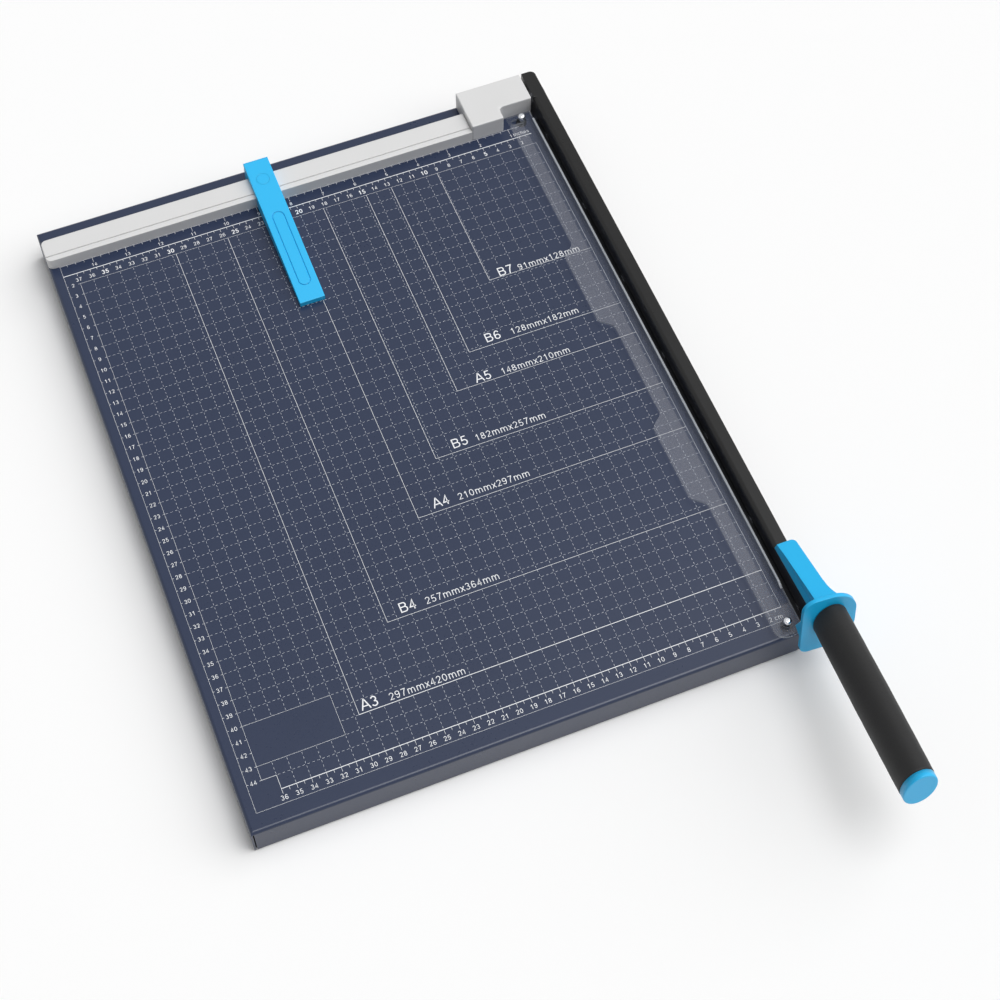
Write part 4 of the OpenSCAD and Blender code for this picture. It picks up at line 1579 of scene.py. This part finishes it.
@dataclass
class Studio:
    """The pale floor, the soft light and the camera."""

    cut: CutFrame
    floor_size: float = 14.0
    floor_bounce: Colour = (0.82, 0.82, 0.82)
    floor_seen: Colour = (0.985, 0.985, 0.985)
    sky: float = 0.307
    sky_low: float = 0.15
    sky_mirrored: float = 0.8
    sky_seen: float = 0.985
    lens: float = 73.573
    sensor: float = 36.0
    camera_at: Triple = (-416.18, -964.83, 1207.23)
    camera_right: Triple = (0.928918, -0.370286, -0.000126)
    camera_up: Triple = (0.319111, 0.800364, 0.507530)
    camera_back: Triple = (-0.187830, -0.471494, 0.861634)
    lamps: tuple[SoftLamp, ...] = (
        SoftLamp("overhead_lamp", (0.165, -0.14, 0.976), 36.0, 1.13),
        SoftLamp("side_lamp", (0.63, -0.15, 0.762), 70.0, 1.62),
    )

    def build(self) -> None:
        """Sets up everything around the object."""
        bpy.context.scene.view_settings.view_transform = "Standard"
        self.make_floor()
        self.make_sky()
        for lamp in self.lamps:
            lamp.hang()
        self.make_camera()

    @staticmethod
    def seen(graph: Graph) -> tuple[Wire, Wire]:
        """Tells which rays show the surroundings themselves.

        Args:
            graph: The tree that asks.

        Returns:
            1 for the camera's own rays, and 1 for all rays that show the surroundings.
        """
        path = graph.node("ShaderNodeLightPath")
        rays = [Wire(graph, path.outputs[f"Is {ray} Ray"]) for ray in ("Camera", "Glossy", "Transmission")]
        return rays[0], rays[0].or_(rays[1]).or_(rays[2])

    def make_floor(self) -> None:
        """Lays the floor under the feet."""
        reach = self.floor_size / 2
        signs = ((-1, -1), (1, -1), (1, 1), (-1, 1))
        corners = [(x * reach, y * reach, CAD_BOX[0].z) for x, y in signs]
        graph = FinishGraph("floor_paper")
        bounce = graph.wire("ShaderNodeBsdfDiffuse", inputs={"Color": (*self.floor_bounce, 1.0)})
        shown = graph.wire("ShaderNodeBsdfDiffuse", inputs={"Color": (*self.floor_seen, 1.0)})
        _, seen = self.seen(graph)
        paper = graph.wire("ShaderNodeMixShader", inputs={0: seen, 1: bounce, 2: shown})
        graph.node("ShaderNodeOutputMaterial", inputs={"Surface": paper})
        floor = new_piece("studio_floor", corners, [range(len(corners))], graph.made)
        log.info("studio_floor: %.0f m", self.floor_size)

    def make_sky(self) -> None:
        """Fills the surroundings with even light, and shows them white."""
        world = bpy.data.worlds.new("studio_sky")
        bpy.context.scene.world = world
        world.use_nodes = True
        graph = Graph(world.node_tree)
        way = graph.wire("ShaderNodeTexCoord", output="Generated")
        up = graph.wire("ShaderNodeSeparateXYZ", inputs={0: way}, output="Z")
        camera, seen = self.seen(graph)
        shown = seen * self.sky_mirrored + camera * (self.sky_seen - self.sky_mirrored)
        strength = self.sky * (self.sky_low + up) * (1.0 - seen) + shown
        glow = graph.wire("ShaderNodeBackground", inputs={"Color": WHITE, "Strength": strength})
        graph.node("ShaderNodeOutputWorld", inputs={"Surface": glow})

    def make_camera(self) -> None:
        """Puts the camera where the photograph was taken from."""
        data = bpy.data.cameras.new("photo_camera")
        data.lens = self.lens
        data.sensor_width = self.sensor
        camera = bpy.data.objects.new("photo_camera", data)
        turn = Matrix((self.camera_right, self.camera_up, self.camera_back)).transposed()
        camera.rotation_mode = "QUATERNION"
        camera.rotation_quaternion = turn.to_quaternion()
        camera.location = self.cut.at(*self.camera_at)
        bpy.context.scene.collection.objects.link(camera)
        bpy.context.scene.camera = camera


# The height above the board, in millimetres, below which the posts are coloured dark as painted shade
POST_SHADE_TOP = 3.6


def main() -> None:
    """Builds the studio and dresses each sub-assembly."""
    logging.basicConfig(level=logging.INFO, format="%(name)s: %(message)s")
    cut = CutFrame.found()
    Studio(cut).build()
    grey = MouldedPlastic("fence_grey", screen(221, 221, 221), roughness=0.45)
    signal = MouldedPlastic("signal_blue", screen(24, 185, 243), roughness=0.4, flow=0.02, ior=1.56)
    blue = signal.material()
    Tray(
        PowderCoat("board_navy", screen(31, 44, 72), screen(54, 66, 92), roughness=0.3, edge=0.0004),
        CastRubber("foot_rubber", screen(34, 34, 36)),
    ).build()
    BoardPrint(
        cut,
        PrintInk("print_white", screen(250, 252, 255)).material(),
        PrintInk("print_faint", screen(236, 240, 248)).material(),
    ).build()
    FenceAndHousing(grey).build()
    Hardware(
        PlatedMetal("zinc_plate", screen(196, 198, 204), screen(160, 163, 172)),
        PlatedMetal(
            "bright_chrome",
            screen(226, 228, 232),
            screen(205, 208, 214),
            roughness=0.14,
            bare_below=cut.at(0, 0, POST_SHADE_TOP).z,
        ),
        PlatedMetal("turned_brass", screen(205, 170, 96), screen(168, 132, 70)),
    ).build()
    Blades(BlackedSteel("blade_steel", screen(52, 53, 56), screen(186, 190, 196))).build()
    SwingArm(
        PowderCoat("arm_black", screen(8, 8, 9), screen(30, 30, 32), roughness=0.3, ior=1.44),
        blue,
        MouldedPlastic("core_black", screen(38, 38, 40), roughness=0.5),
        FoamRubber("grip_foam", screen(17, 17, 18)),
    ).build()
    HoldDown(cut).build()
    PaperStop(blue, MouldedPlastic("shoe_nylon", screen(226, 222, 210), roughness=0.5)).build()


if __name__ == "__main__":
    main()
